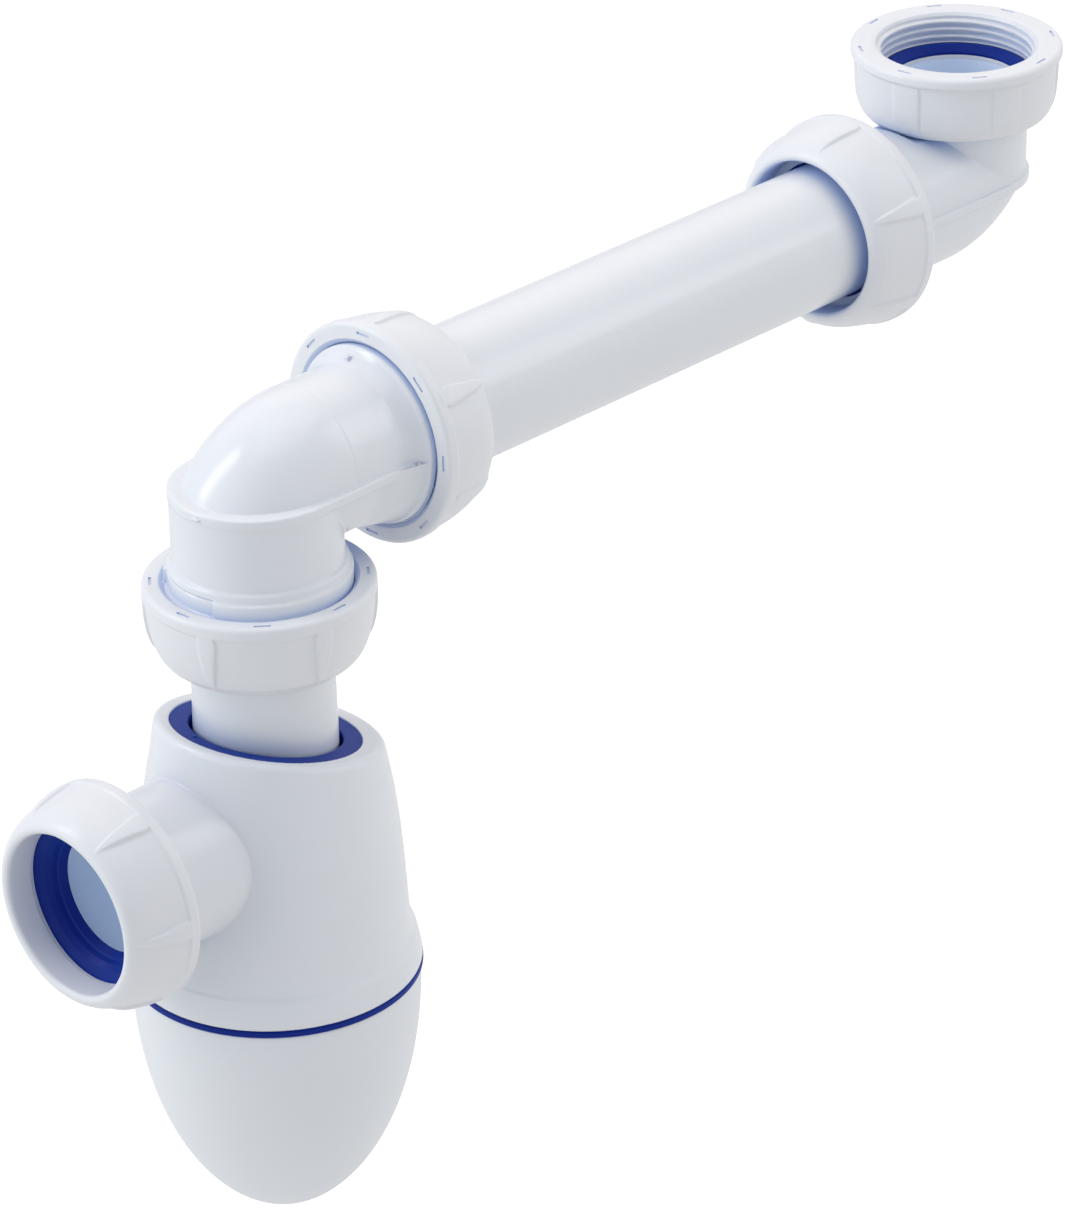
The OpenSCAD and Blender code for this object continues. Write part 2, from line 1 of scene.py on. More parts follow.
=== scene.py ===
"""A bottle trap for a sink, in moulded polypropylene with blue rubber seals.

The inlet stands on the Z axis with its washer at height 0. An elbow turns it towards -X, an offset
pipe leads to a second elbow, and that one turns down into the bottle. The outlet leaves the bottle
towards -X and the cleanout cup hangs below it. Lengths are in mm until build() turns them into metres.
"""
import bmesh
import bpy
import json
import math
import numpy as np
from mathutils import Matrix, Vector
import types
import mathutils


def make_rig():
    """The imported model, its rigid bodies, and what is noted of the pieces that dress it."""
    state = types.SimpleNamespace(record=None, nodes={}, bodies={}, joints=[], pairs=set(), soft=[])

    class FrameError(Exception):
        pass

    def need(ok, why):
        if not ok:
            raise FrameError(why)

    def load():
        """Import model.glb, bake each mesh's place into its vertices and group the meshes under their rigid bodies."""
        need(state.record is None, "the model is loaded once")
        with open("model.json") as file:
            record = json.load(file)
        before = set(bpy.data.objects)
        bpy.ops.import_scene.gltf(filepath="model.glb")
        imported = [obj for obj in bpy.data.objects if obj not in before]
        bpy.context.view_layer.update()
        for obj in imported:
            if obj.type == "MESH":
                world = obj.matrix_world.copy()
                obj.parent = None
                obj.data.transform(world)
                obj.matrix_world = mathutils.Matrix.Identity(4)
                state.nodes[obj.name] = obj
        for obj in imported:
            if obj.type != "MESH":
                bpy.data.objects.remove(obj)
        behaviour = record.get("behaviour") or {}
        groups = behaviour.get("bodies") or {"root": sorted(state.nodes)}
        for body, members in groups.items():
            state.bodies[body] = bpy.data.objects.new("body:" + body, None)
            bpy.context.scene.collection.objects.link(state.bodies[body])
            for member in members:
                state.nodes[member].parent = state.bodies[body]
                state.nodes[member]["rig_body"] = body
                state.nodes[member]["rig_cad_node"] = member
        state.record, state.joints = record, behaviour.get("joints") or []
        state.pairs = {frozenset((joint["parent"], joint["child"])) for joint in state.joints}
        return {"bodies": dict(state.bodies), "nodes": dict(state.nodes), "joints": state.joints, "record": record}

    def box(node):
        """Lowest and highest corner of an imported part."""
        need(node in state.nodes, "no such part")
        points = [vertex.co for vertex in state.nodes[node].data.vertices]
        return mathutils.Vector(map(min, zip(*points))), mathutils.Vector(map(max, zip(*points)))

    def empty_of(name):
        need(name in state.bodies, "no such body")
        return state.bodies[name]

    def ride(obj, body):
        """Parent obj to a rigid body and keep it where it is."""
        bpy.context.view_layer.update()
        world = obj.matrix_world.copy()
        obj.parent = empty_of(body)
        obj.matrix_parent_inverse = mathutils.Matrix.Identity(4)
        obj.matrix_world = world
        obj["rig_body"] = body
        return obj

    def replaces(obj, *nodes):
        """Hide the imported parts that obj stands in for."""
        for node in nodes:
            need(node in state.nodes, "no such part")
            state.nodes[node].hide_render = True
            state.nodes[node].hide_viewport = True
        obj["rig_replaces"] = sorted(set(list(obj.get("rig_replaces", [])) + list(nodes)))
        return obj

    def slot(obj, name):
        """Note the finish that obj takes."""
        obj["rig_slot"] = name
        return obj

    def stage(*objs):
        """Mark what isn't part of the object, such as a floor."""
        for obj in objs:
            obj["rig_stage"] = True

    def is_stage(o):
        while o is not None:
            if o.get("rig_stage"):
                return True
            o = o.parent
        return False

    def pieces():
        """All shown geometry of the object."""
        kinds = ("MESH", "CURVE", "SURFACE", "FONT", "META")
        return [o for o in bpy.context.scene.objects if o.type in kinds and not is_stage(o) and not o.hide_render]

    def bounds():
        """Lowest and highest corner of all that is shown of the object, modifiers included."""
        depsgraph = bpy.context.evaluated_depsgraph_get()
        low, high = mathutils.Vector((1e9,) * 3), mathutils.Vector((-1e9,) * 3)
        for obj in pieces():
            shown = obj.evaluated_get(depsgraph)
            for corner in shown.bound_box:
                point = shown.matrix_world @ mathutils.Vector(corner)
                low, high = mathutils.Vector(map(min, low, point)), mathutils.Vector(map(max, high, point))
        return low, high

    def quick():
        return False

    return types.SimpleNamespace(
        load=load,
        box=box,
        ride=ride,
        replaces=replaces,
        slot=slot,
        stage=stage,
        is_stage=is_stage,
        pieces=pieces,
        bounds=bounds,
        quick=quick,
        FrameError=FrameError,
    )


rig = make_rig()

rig.load()
CAD_BOX = [list(map(float, c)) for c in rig.bounds()]
MM = 0.001


# ------------------------------------------------------------------ layout, from the CAD pieces
def centre(node):
    low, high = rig.box(node)
    return (np.array(low) + np.array(high)) * 500.0


def lows(node):
    return np.array(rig.box(node)[0]) * 1000.0


def highs(node):
    return np.array(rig.box(node)[1]) * 1000.0


BOTTLE_X = float(centre("dip_tube")[0])
PIPE_Z = float(centre("offset_pipe")[2])
OUTLET_Z = float(centre("outlet_nut")[2])
# the nuts' mouths
LOWER_Z = float(highs("lower_nut")[2])
MIDDLE_X = float(lows("middle_nut")[0])
PIPE_NUT_X = float(highs("pipe_nut")[0])
OUTLET_X = float(highs("outlet_nut")[0])
INLET_Z = float(highs("inlet_nut")[2])
CUP_Z = float(lows("cup_gasket")[2])


# Placements. A joint's local +Z leaves the nut's mouth, and its height 0 is the mouth.
def upright(x, z):
    return lambda v: v + np.array([x, 0, z])


def facing_plus_x(x, z):
    return lambda v: np.c_[v[:, 2] + x, v[:, 1], -v[:, 0] + z]


def at_middle(v):
    return np.c_[-v[:, 2] + MIDDLE_X, v[:, 1], v[:, 0] + PIPE_Z]


at_inlet = upright(0, INLET_Z)
at_lower = upright(BOTTLE_X, LOWER_Z)
at_pipe_nut = facing_plus_x(PIPE_NUT_X, PIPE_Z)
at_outlet = facing_plus_x(OUTLET_X, OUTLET_Z)


# ------------------------------------------------------------------ meshes
MATERIALS = {}          # finish name: material


def shade_smooth(mesh):
    mesh.polygons.foreach_set("use_smooth", np.ones(len(mesh.polygons), bool))


def build(name, verts, quads, body, finish, replaces=True, normals=None, sharp=None):
    """Makes a smooth mesh from mm and registers it. sharp is the crease angle in degrees."""
    node = name
    if name in bpy.data.objects:
        name += "_form"
    mesh = bpy.data.meshes.new(name)
    verts = np.asarray(verts, float) * MM
    quads = np.asarray(quads, np.int32)
    mesh.vertices.add(len(verts))
    mesh.vertices.foreach_set("co", verts.astype(np.float32).ravel())
    mesh.loops.add(quads.size)
    mesh.loops.foreach_set("vertex_index", quads.ravel())
    mesh.polygons.add(len(quads))
    starts = np.arange(0, quads.size, quads.shape[1], dtype=np.int32)
    mesh.polygons.foreach_set("loop_start", starts)
    shade_smooth(mesh)
    mesh.update(calc_edges=True)
    mesh.validate()
    if sharp is not None:
        mesh.set_sharp_from_angle(angle=math.radians(sharp))
    if normals is not None:
        mesh.normals_split_custom_set_from_vertices([tuple(n) for n in normals])
    obj = bpy.data.objects.new(name, mesh)
    bpy.context.scene.collection.objects.link(obj)
    mesh.materials.append(MATERIALS[finish])
    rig.ride(obj, body)
    if replaces:
        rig.replaces(obj, node)
    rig.slot(obj, finish)
    return obj


def fillet(corners, segments=5):
    """Closed outline of (r, z, radius) corners, each rounded, with a guard point beside each arc."""
    points = [np.array(c[:2], float) for c in corners]
    count = len(points)
    out = []
    for i, corner in enumerate(points):
        radius = corners[i][2]
        if radius <= 0:
            out.append(corner)
            continue
        back = points[(i - 1) % count] - corner
        ahead = points[(i + 1) % count] - corner
        back_len, ahead_len = np.linalg.norm(back), np.linalg.norm(ahead)
        back, ahead = back / back_len, ahead / ahead_len
        angle = math.acos(max(-1, min(1, float(back @ ahead))))
        if angle > math.pi - 0.02:
            out.append(corner)
            continue
        trim = min(radius / math.tan(angle / 2), 0.46 * back_len, 0.46 * ahead_len)
        radius = trim * math.tan(angle / 2)
        bisector = (back + ahead) / np.linalg.norm(back + ahead)
        middle = corner + bisector * (radius / math.sin(angle / 2))
        start, end = corner + back * trim, corner + ahead * trim
        start_angle = math.atan2(*(start - middle)[::-1])
        end_angle = math.atan2(*(end - middle)[::-1])
        turn = (end_angle - start_angle + math.pi) % (2 * math.pi) - math.pi
        guard = min(0.12, 0.2 * trim)
        if back_len - trim > 0.3:
            out.append(start + back * guard)
        for k in range(segments + 1):
            a = start_angle + turn * k / segments
            out.append(middle + radius * np.array([math.cos(a), math.sin(a)]))
        if ahead_len - trim > 0.3:
            out.append(end + ahead * guard)
    return np.array(out)


def dense(profile, step, where=None):
    """Splits the edges longer than step whose midpoint (r, z) passes the test."""
    out = []
    for a, b in zip(profile, np.roll(profile, -1, axis=0)):
        out.append(a)
        length = np.linalg.norm(b - a)
        if length > step and (where is None or where(*((a + b) / 2))):
            parts = int(math.ceil(length / step))
            for j in range(1, parts):
                out.append(a + (b - a) * j / parts)
    return np.array(out)


def clockwise(profile):
    """The profile in the order that runs down its outer side, seen with r to the right."""
    r, z = profile[:, 0], profile[:, 1]
    area = 0.5 * float(np.sum(r * np.roll(z, -1) - np.roll(r, -1) * z))
    return profile[::-1] if area > 0 else profile


def lathe(profile, columns, warp=None):
    """Revolves a closed (r, z) profile. warp(angle, r, z) gives new angle, r and z grids."""
    profile = clockwise(profile)
    rows = len(profile)
    T, R = np.meshgrid(np.arange(columns) * 2 * math.pi / columns, profile[:, 0])
    Z = np.repeat(profile[:, 1][:, None], columns, 1)
    if warp is not None:
        T, R, Z = warp(T, R, Z)
    verts = np.stack([R * np.cos(T), R * np.sin(T), Z], -1).reshape(-1, 3)
    i, j = np.meshgrid(np.arange(rows), np.arange(columns), indexing="ij")
    i2, j2 = (i + 1) % rows, (j + 1) % columns
    corners = [i * columns + j, i2 * columns + j, i2 * columns + j2, i * columns + j2]
    return verts, np.stack(corners, -1).reshape(-1, 4)


def weld(mesh, distance):
    """Merges the points that a lathe leaves on the axis. distance is in metres."""
    bm = bmesh.new()
    bm.from_mesh(mesh)
    bmesh.ops.remove_doubles(bm, verts=bm.verts, dist=distance)
    bmesh.ops.dissolve_degenerate(bm, dist=1e-8, edges=bm.edges)
    bm.to_mesh(mesh)
    bm.free()
    shade_smooth(mesh)
    mesh.update()


# ------------------------------------------------------------------ implicit shapes
def smin(a, b, k):
    """Union of two distance fields, blended over k."""
    h = np.maximum(k - np.abs(a - b), 0) / k
    return np.minimum(a, b) - h * h * k * 0.25


def smax(a, b, k):
    """Intersection of two distance fields, blended over k."""
    return -smin(-a, -b, k)


def slab(value, middle, half):
    return np.abs(value - middle) - half


def smoothstep(a, b, x):
    t = np.clip((x - a) / (b - a), 0, 1)
    return t * t * (3 - 2 * t)


def table(points, sigma, step=0.05):
    """Lookup of (position, radius) stations, smoothed by a Gaussian of width sigma."""
    points = np.array(sorted(points), float)
    x = np.arange(points[0, 0] - 3, points[-1, 0] + 3, step)
    y = np.interp(x, points[:, 0], points[:, 1])
    reach = np.arange(-4 * sigma, 4 * sigma + step / 2, step)
    weights = np.exp(-0.5 * (reach / sigma) ** 2)
    weights /= weights.sum()
    half = len(weights) // 2
    padded = np.concatenate([np.full(half, y[0]), y, np.full(half, y[-1])])
    y = np.convolve(padded, weights, "valid")[: len(x)]
    return lambda q: np.interp(q, x, y)


def surface_net(f, low, high, cell):
    """Vertices, quads and gradient normals of the surface f = 0 inside a box."""
    low = np.array(low, float)
    high = np.array(high, float)

    # sample block by block, and in full only in the blocks near the surface
    B = 8
    nb = np.ceil((high - low) / (cell * B)).astype(int)
    size = nb * B
    blocks = np.stack(np.meshgrid(*[np.arange(k) for k in nb], indexing="ij"), -1).reshape(-1, 3)
    middles = low + (blocks + 0.5) * B * cell
    coarse = f(middles[:, 0], middles[:, 1], middles[:, 2])
    near = blocks[np.abs(coarse) < cell * B * 0.87 * 1.35 + cell]
    field = np.zeros(tuple(size), np.float32)
    fill = np.where(coarse < 0, -9, 9).reshape(nb[0], 1, nb[1], 1, nb[2], 1)
    field.reshape(nb[0], B, nb[1], B, nb[2], B)[:] = fill
    offsets = np.stack(np.meshgrid(*[np.arange(B)] * 3, indexing="ij"), -1).reshape(-1, 3)
    for s in range(0, len(near), 2500):
        g = (near[s : s + 2500, None, :] * B + offsets[None]).reshape(-1, 3)
        p = low + g * cell
        field[g[:, 0], g[:, 1], g[:, 2]] = f(p[:, 0], p[:, 1], p[:, 2])
    inside = field < 0

    # one vertex for each cell that the surface crosses
    corners_in = np.zeros(tuple(size - 1), np.int8)
    for corner in np.ndindex(2, 2, 2):
        corners_in += inside[tuple(slice(d, n - 1 + d) for d, n in zip(corner, size))]
    crossed = (corners_in > 0) & (corners_in < 8)
    cells = np.argwhere(crossed)
    index = np.full(crossed.shape, -1, np.int32)
    index[crossed] = np.arange(len(cells))

    # placed at the mean of the crossings on the cell's twelve edges
    total = np.zeros((len(cells), 3))
    number = np.zeros(len(cells))
    for axis in range(3):
        others = [a for a in range(3) if a != axis]
        for shift in np.ndindex(2, 2):
            a = cells.copy()
            a[:, others] += shift
            b = a.copy()
            b[:, axis] += 1
            at_a = field[a[:, 0], a[:, 1], a[:, 2]].astype(float)
            at_b = field[b[:, 0], b[:, 1], b[:, 2]].astype(float)
            cross = (at_a < 0) != (at_b < 0)
            q = a.astype(float)
            q[:, axis] += np.where(cross, at_a / np.where(cross, at_a - at_b, 1), 0)
            total += q * cross[:, None]
            number += cross
    v = low + total / np.maximum(number, 1)[:, None] * cell

    # one quad round each grid edge that the surface crosses
    quads = []
    for axis in range(3):
        start = [slice(1, -1)] * 3
        end = list(start)
        start[axis], end[axis] = slice(None, -1), slice(1, None)
        du, dw = np.eye(3, dtype=int)[[(axis + 1) % 3, (axis + 2) % 3]]
        at = np.argwhere(inside[tuple(start)] != inside[tuple(end)]) + du + dw
        ring = [at - du - dw, at - dw, at, at - du]
        q = np.stack([index[tuple(c.T)] for c in ring], -1)
        flip = ~inside[tuple(at.T)]
        q[flip] = q[flip][:, ::-1]
        quads.append(q)
    quads = np.concatenate(quads)
    quads = quads[(quads >= 0).all(1)]

    def gradient(p, e=0.04):
        g = np.empty_like(p)
        for a in range(3):
            d = np.zeros(3)
            d[a] = e
            P, M = p + d, p - d
            g[:, a] = (f(P[:, 0], P[:, 1], P[:, 2]) - f(M[:, 0], M[:, 1], M[:, 2])) / (2 * e)
        return g

    def project(p, times):
        for _ in range(times):
            g = gradient(p)
            value = f(p[:, 0], p[:, 1], p[:, 2])
            move = value[:, None] * g / np.maximum((g * g).sum(1), 0.05)[:, None]
            length = np.linalg.norm(move, axis=1)
            move *= (np.minimum(length, 0.5 * cell) / np.maximum(length, 1e-9))[:, None]
            p = p - move
        return p

    # one relaxation towards the neighbours, then back onto the surface
    v = project(v, 2)
    neighbours = np.zeros_like(v)
    degree = np.zeros(len(v))
    for a, b in ((0, 1), (1, 2), (2, 3), (3, 0)):
        np.add.at(neighbours, quads[:, a], v[quads[:, b]])
        np.add.at(degree, quads[:, a], 1)
    mean = neighbours / np.maximum(degree, 1)[:, None]
    v = v + 0.5 * np.clip(mean - v, -0.4 * cell, 0.4 * cell)
    v = project(v, 3)
    g = gradient(v)
    normals = g / np.maximum(np.linalg.norm(g, axis=1), 1e-9)[:, None]
    used = np.zeros(len(v), bool)
    used[quads.ravel()] = True
    remap = np.cumsum(used) - 1
    return v[used], remap[quads], normals[used]


# ------------------------------------------------------------------ materials
MIX_A, MIX_B, MIX_RESULT = 6, 7, 2      # the colour sockets of a Mix node


def wire(tree, target, inputs):
    """Fills a node's inputs: an output socket is linked, anything else is a value."""
    for key, value in inputs.items():
        if isinstance(value, bpy.types.NodeSocket):
            tree.links.new(value, target.inputs[key])
        else:
            target.inputs[key].default_value = value


def add(tree, kind, inputs={}, **settings):
    made = tree.nodes.new("ShaderNode" + kind)
    for key, value in settings.items():
        setattr(made, key, value)
    wire(tree, made, inputs)
    return made


def new_material(name):
    """An emptied material with its output node."""
    material = bpy.data.materials.new(name)
    material.use_nodes = True
    MATERIALS[name] = material
    tree = material.node_tree
    tree.nodes.clear()
    return tree, add(tree, "OutputMaterial")


def noise(tree, coords, scale, detail):
    inputs = {"Scale": scale, "Detail": detail, "Vector": coords}
    return add(tree, "TexNoise", inputs).outputs["Fac"]


def ramp(tree, factor, *stops):
    made = add(tree, "ValToRGB", {0: factor})
    for element, (position, colour) in zip(made.color_ramp.elements, stops):
        element.position = position
        element.color = (*colour, 1)
    return made.outputs["Color"]


def map_range(tree, value, **ends):
    """ends are from_min, from_max, to_min and to_max."""
    inputs = {key.replace("_", " ").title(): end for key, end in ends.items()}
    return add(tree, "MapRange", {"Value": value, **inputs}).outputs["Result"]


def mix(tree, factor, a, b):
    inputs = {"Factor": factor, MIX_A: a, MIX_B: b}
    return add(tree, "Mix", inputs, data_type="RGBA").outputs[MIX_RESULT]


def bump(tree, height, strength, distance, **normal):
    inputs = {"Strength": strength, "Distance": distance, "Height": height, **normal}
    return add(tree, "Bump", inputs).outputs["Normal"]


def plastic(name, base, cavity, rough, rough_spread, grain_bump, subsurface, grain=900.0,
            wave_bump=0.010, specks=0.0, glow=None):
    """Moulded plastic: a milky body, bluer cavities, fine grain, flow waves and small specks.

    glow is the colour and strength of a painted glow, an emission that stands in for the light that comes through the
    wall."""
    tree, output = new_material(name)
    shader = add(tree, "BsdfPrincipled")
    wire(tree, output, {0: shader.outputs[0]})
    coords = add(tree, "TexCoord").outputs["Object"]
    # slow colour drift of the resin
    drift = noise(tree, coords, scale=28.0, detail=3.0)
    body = ramp(tree, drift, (0.3, [c * 0.985 for c in base]), (0.7, base))
    # painted shade: the darker, bluer cavity colour is mixed in where ambient occlusion finds the surface enclosed
    painted_shade_openness = add(tree, "AmbientOcclusion", {"Distance": 0.012}, samples=4).outputs["AO"]
    painted_shade_openness = map_range(tree, painted_shade_openness, from_min=0.05, from_max=0.72)
    colour = mix(tree, painted_shade_openness, (*cavity, 1), body)
    if specks > 0:
        cells = add(tree, "TexVoronoi", {"Scale": 95.0, "Vector": coords}).outputs["Distance"]
        speck = map_range(tree, cells, from_min=0.0, from_max=0.045, to_min=specks, to_max=0.0)
        colour = mix(tree, speck, colour, (0.45, 0.47, 0.52, 1))
    patches = noise(tree, coords, scale=140.0, detail=4.0)
    roughness = map_range(tree, patches, to_min=rough - rough_spread, to_max=rough + rough_spread)
    fine = noise(tree, coords, scale=grain, detail=2.0)
    normal = bump(tree, fine, strength=grain_bump, distance=0.0002)
    waves = noise(tree, coords, scale=55.0, detail=1.0)
    normal = bump(tree, waves, strength=wave_bump, distance=0.002, Normal=normal)
    wire(tree, shader, {
        "Base Color": colour,
        "Roughness": roughness,
        "Normal": normal,
        "IOR": 1.49,
        "Subsurface Weight": subsurface,
        "Subsurface Radius": (0.7, 0.85, 1.0),
        "Subsurface Scale": 0.0025,
    })
    # painted glow: emission in place of the light that comes through the wall
    if glow:
        wire(tree, shader, {"Emission Color": (*glow[0], 1), "Emission Strength": glow[1]})


def rubber(name, base, edge, rough, rough_spread):
    """Rubber with a fine grain and a painted sheen: the edge colour comes in where the surface turns away from the
    view.
    """
    tree, output = new_material(name)
    shader = add(tree, "BsdfPrincipled")
    wire(tree, output, {0: shader.outputs[0]})
    coords = add(tree, "TexCoord").outputs["Object"]
    drift = noise(tree, coords, scale=160.0, detail=4.0)
    body = ramp(tree, drift, (0.35, base), (0.75, [c * 1.12 for c in base]))
    # painted sheen: the lighter edge colour towards grazing angles
    facing = add(tree, "LayerWeight", {"Blend": 0.35}).outputs["Facing"]
    colour = mix(tree, facing, body, (*edge, 1))
    grain = noise(tree, coords, scale=420.0, detail=4.0)
    roughness = map_range(tree, grain, to_min=rough - rough_spread, to_max=rough + rough_spread)
    wire(tree, shader, {
        "Base Color": colour,
        "Roughness": roughness,
        "Normal": bump(tree, grain, strength=0.05, distance=0.0004),
        "Specular IOR Level": 0.12,
    })


# each cavity colour is painted shade, mixed in by ambient occlusion in hollows and between parts
plastic("pp_gloss", base=(0.79, 0.81, 0.84), cavity=(0.44, 0.57, 0.86), rough=0.2,
        rough_spread=0.05, grain_bump=0.015, subsurface=0.12, specks=0.10)
# a lighter, bluer copy of the plastic with an emission glow, for the inside faces: painted bounce light and painted
# glow
plastic("pp_inner", base=(0.76, 0.84, 0.97), cavity=(0.66, 0.78, 0.97), rough=0.3,
        rough_spread=0.05, grain_bump=0.02, subsurface=0.05, glow=((0.50, 0.72, 1.0), 0.07))
plastic("pp_nut", base=(0.79, 0.80, 0.825), cavity=(0.46, 0.58, 0.86), rough=0.33,
        rough_spread=0.07, grain_bump=0.05, subsurface=0.10, grain=1400, wave_bump=0.02)
plastic("pp_cup", base=(0.79, 0.81, 0.84), cavity=(0.46, 0.58, 0.84), rough=0.36,
        rough_spread=0.07, grain_bump=0.05, subsurface=0.10, grain=1200, wave_bump=0.012)
plastic("pe_ring", base=(0.72, 0.74, 0.76), cavity=(0.45, 0.55, 0.75), rough=0.5,
        rough_spread=0.06, grain_bump=0.06, subsurface=0.25)
# edge is the painted sheen colour
rubber("blue_rubber", base=(0.002, 0.016, 0.195), edge=(0.010, 0.052, 0.35), rough=0.42,
       rough_spread=0.07)

# ------------------------------------------------------------------ threads
THREAD_PITCH = 4.0
THREAD_HEIGHT = 1.2
UNION_THREAD_Z = -15        # height of a ridge's centre at angle 0
COMP_THREAD_Z = -12.9
NUT_CORE_R = 25.9
INLET_PITCH = 2.309
INLET_CORE_R = 22.42
INLET_GROOVE = 1.36


def ridge(z, angle, z0, pitch, half0, half1):
    """Right-handed helical ridge: 0 beyond half0 from its centre, 1 within half1."""
    t = ((z - z0) / pitch - angle / (2 * math.pi) + 0.5) % 1.0 - 0.5
    return smoothstep(half0, half1, np.abs(t) * pitch)


def nut_thread(z0, bottom):
    """Groove in a nut's bore, fading out over the last millimetre above bottom."""
    def thread(T, R, Z):
        groove = ridge(Z, T, z0, THREAD_PITCH, 1.35, 0.75) * smoothstep(bottom, bottom + 1.0, Z)
        threaded = (np.abs(R - NUT_CORE_R) < 0.02) & (Z > bottom) & (Z < -1.4)
        return np.where(threaded, R + THREAD_HEIGHT * groove, R)
    return thread


def inlet_thread(T, R, Z):
    groove = ridge(Z, T, -1.95, INLET_PITCH, 0.92, 0.28) * INLET_GROOVE
    threaded = (R < 24.3) & (Z > -9.9) & (Z < -1.0)
    mouth_fade = np.where(R < 22.8, 1.0, smoothstep(24.3, 22.6, R))
    root = np.maximum(R, INLET_CORE_R + groove)
    return np.where(threaded, R + (root - R) * smoothstep(-9.3, -8.8, Z) * mouth_fade, R)


def leg_thread(u, angle, z0, end, inner):
    """Rise of a leg's thread at height u, fading in over end and out over inner."""
    return THREAD_HEIGHT * (ridge(u, angle, z0, THREAD_PITCH, 1.05, 0.45)
                            * smoothstep(*end, u) * smoothstep(*inner, u))


def union_leg_thread(u, angle):
    return leg_thread(u, angle, UNION_THREAD_Z, (-12.2, -11.4), (-0.6, -1.6))


def comp_leg_thread(u, angle):
    return leg_thread(u, angle, COMP_THREAD_Z, (-8.2, -7.4), (-0.6, -1.4))


# ------------------------------------------------------------------ nuts
RIBS = 6
CREST, FLANK, GAP = 3, 5, 12        # columns in each half of a rib's sector
SLOTS = 8
SLOT_WIDTH = 0.8

# a rib's half width against height
LEAF = table([(-25, 0.15), (-22.6, 0.2), (-20, 0.75), (-16, 1.45), (-12, 1.95), (-8.5, 2.5),
              (-6.4, 2.8), (-5.0, 2.75), (-3.9, 2.2), (0, 2.1)], 0.35)


def rib_warp(phase, leaf, height, ribbed, thread, flank):
    """Warp and column count: columns follow the ribs' outlines, ribbed rows rise to make them."""
    sector = 2 * math.pi / RIBS
    half = CREST + FLANK + GAP
    column = np.arange(2 * half * RIBS)
    offset = column % (2 * half) - half
    side = np.where(offset < 0, -1, 1)
    steps = np.abs(offset)[None, :].astype(float)
    rib_angle = (column // (2 * half))[None, :] * sector
    on_crest = steps <= CREST
    on_flank = ~on_crest & (steps <= CREST + FLANK)
    rise = np.select([on_crest, on_flank], [1.0, 1 - smoothstep(0, FLANK, steps - CREST)], 0.0)

    def warp(T, R, Z):
        z = Z[:, :1]
        radius = np.maximum(R[:, :1], 1)
        width = leaf(z) / radius
        bevel = flank / radius
        inner = np.maximum(width - bevel, 0.25 * width)
        outer = width + bevel
        gap = (steps - CREST - FLANK) / GAP
        angle = np.select(
            [on_crest, on_flank],
            [inner * steps / CREST, inner + (outer - inner) * (steps - CREST) / FLANK],
            outer + (sector / 2 - outer) * (0.55 * gap + 0.45 * gap * gap))
        T = rib_angle + side * angle + math.radians(phase)
        R = R + rise * (height(z) * ribbed)
        return T, thread(T, R, Z), Z

    return warp, len(column)


def cut_slots(nut, place, radius, phase, length, depth):
    """Small slots in a nut's mouth face, lying along the rim."""
    verts, faces = [], []
    for i in range(SLOTS):
        a = math.radians(phase + 360 / SLOTS * i)
        radial = np.array([math.cos(a), math.sin(a), 0])
        tangent = np.array([-math.sin(a), math.cos(a), 0])
        n = len(verts)
        for dz in (-depth, depth):
            for dr, dt in ((-1, -1), (1, -1), (1, 1), (-1, 1)):
                verts.append(radial * (radius + dr * SLOT_WIDTH / 2) + tangent * dt * length / 2
                             + np.array([0, 0, dz]))
        faces += [[n + 3, n + 2, n + 1, n], [n + 4, n + 5, n + 6, n + 7]]
        faces += [[n + k, n + (k + 1) % 4, n + 4 + (k + 1) % 4, n + 4 + k] for k in range(4)]
    mesh = bpy.data.meshes.new("cut")
    mesh.from_pydata((place(np.array(verts)) * MM).tolist(), [], faces)
    cutter = bpy.data.objects.new("cut", mesh)
    bpy.context.scene.collection.objects.link(cutter)
    modifier = nut.modifiers.new("cut", "BOOLEAN")
    modifier.operation = "DIFFERENCE"
    modifier.solver = "EXACT"
    modifier.object = cutter
    bpy.context.view_layer.update()
    depsgraph = bpy.context.evaluated_depsgraph_get()
    result = bpy.data.meshes.new_from_object(nut.evaluated_get(depsgraph))
    nut.modifiers.clear()
    # a failed boolean leaves next to nothing, and then the nut stays uncut
    if len(result.polygons) > 100:
        uncut = nut.data
        nut.data = result
        bpy.data.meshes.remove(uncut)
        shade_smooth(result)
        result.set_sharp_from_angle(angle=math.radians(42))
    bpy.data.objects.remove(cutter)


def ribbed_nut(name, place, corners, refine, ribbed, leaf, height, thread, rib_phase, slots,
               flank=0.32):
    """refine lists (step, test) for dense(), ribbed(r, z) marks the rows that the ribs rise from."""
    profile = fillet(corners)
    for step, where in refine:
        profile = dense(profile, step, where)
    profile = clockwise(profile)
    rows = ribbed(profile[:, :1], profile[:, 1:])
    warp, columns = rib_warp(rib_phase, leaf, height, rows, thread, flank)
    verts, quads = lathe(profile, columns, warp)
    nut = build(name, place(verts), quads, name, "pp_nut", sharp=60)
    cut_slots(nut, place, **slots)


def bore_rows(r, z):
    return 25.5 < r < 26.2 and z > -13


def big_slots(phase):
    return dict(radius=29.5, phase=phase, length=4.6, depth=0.45)


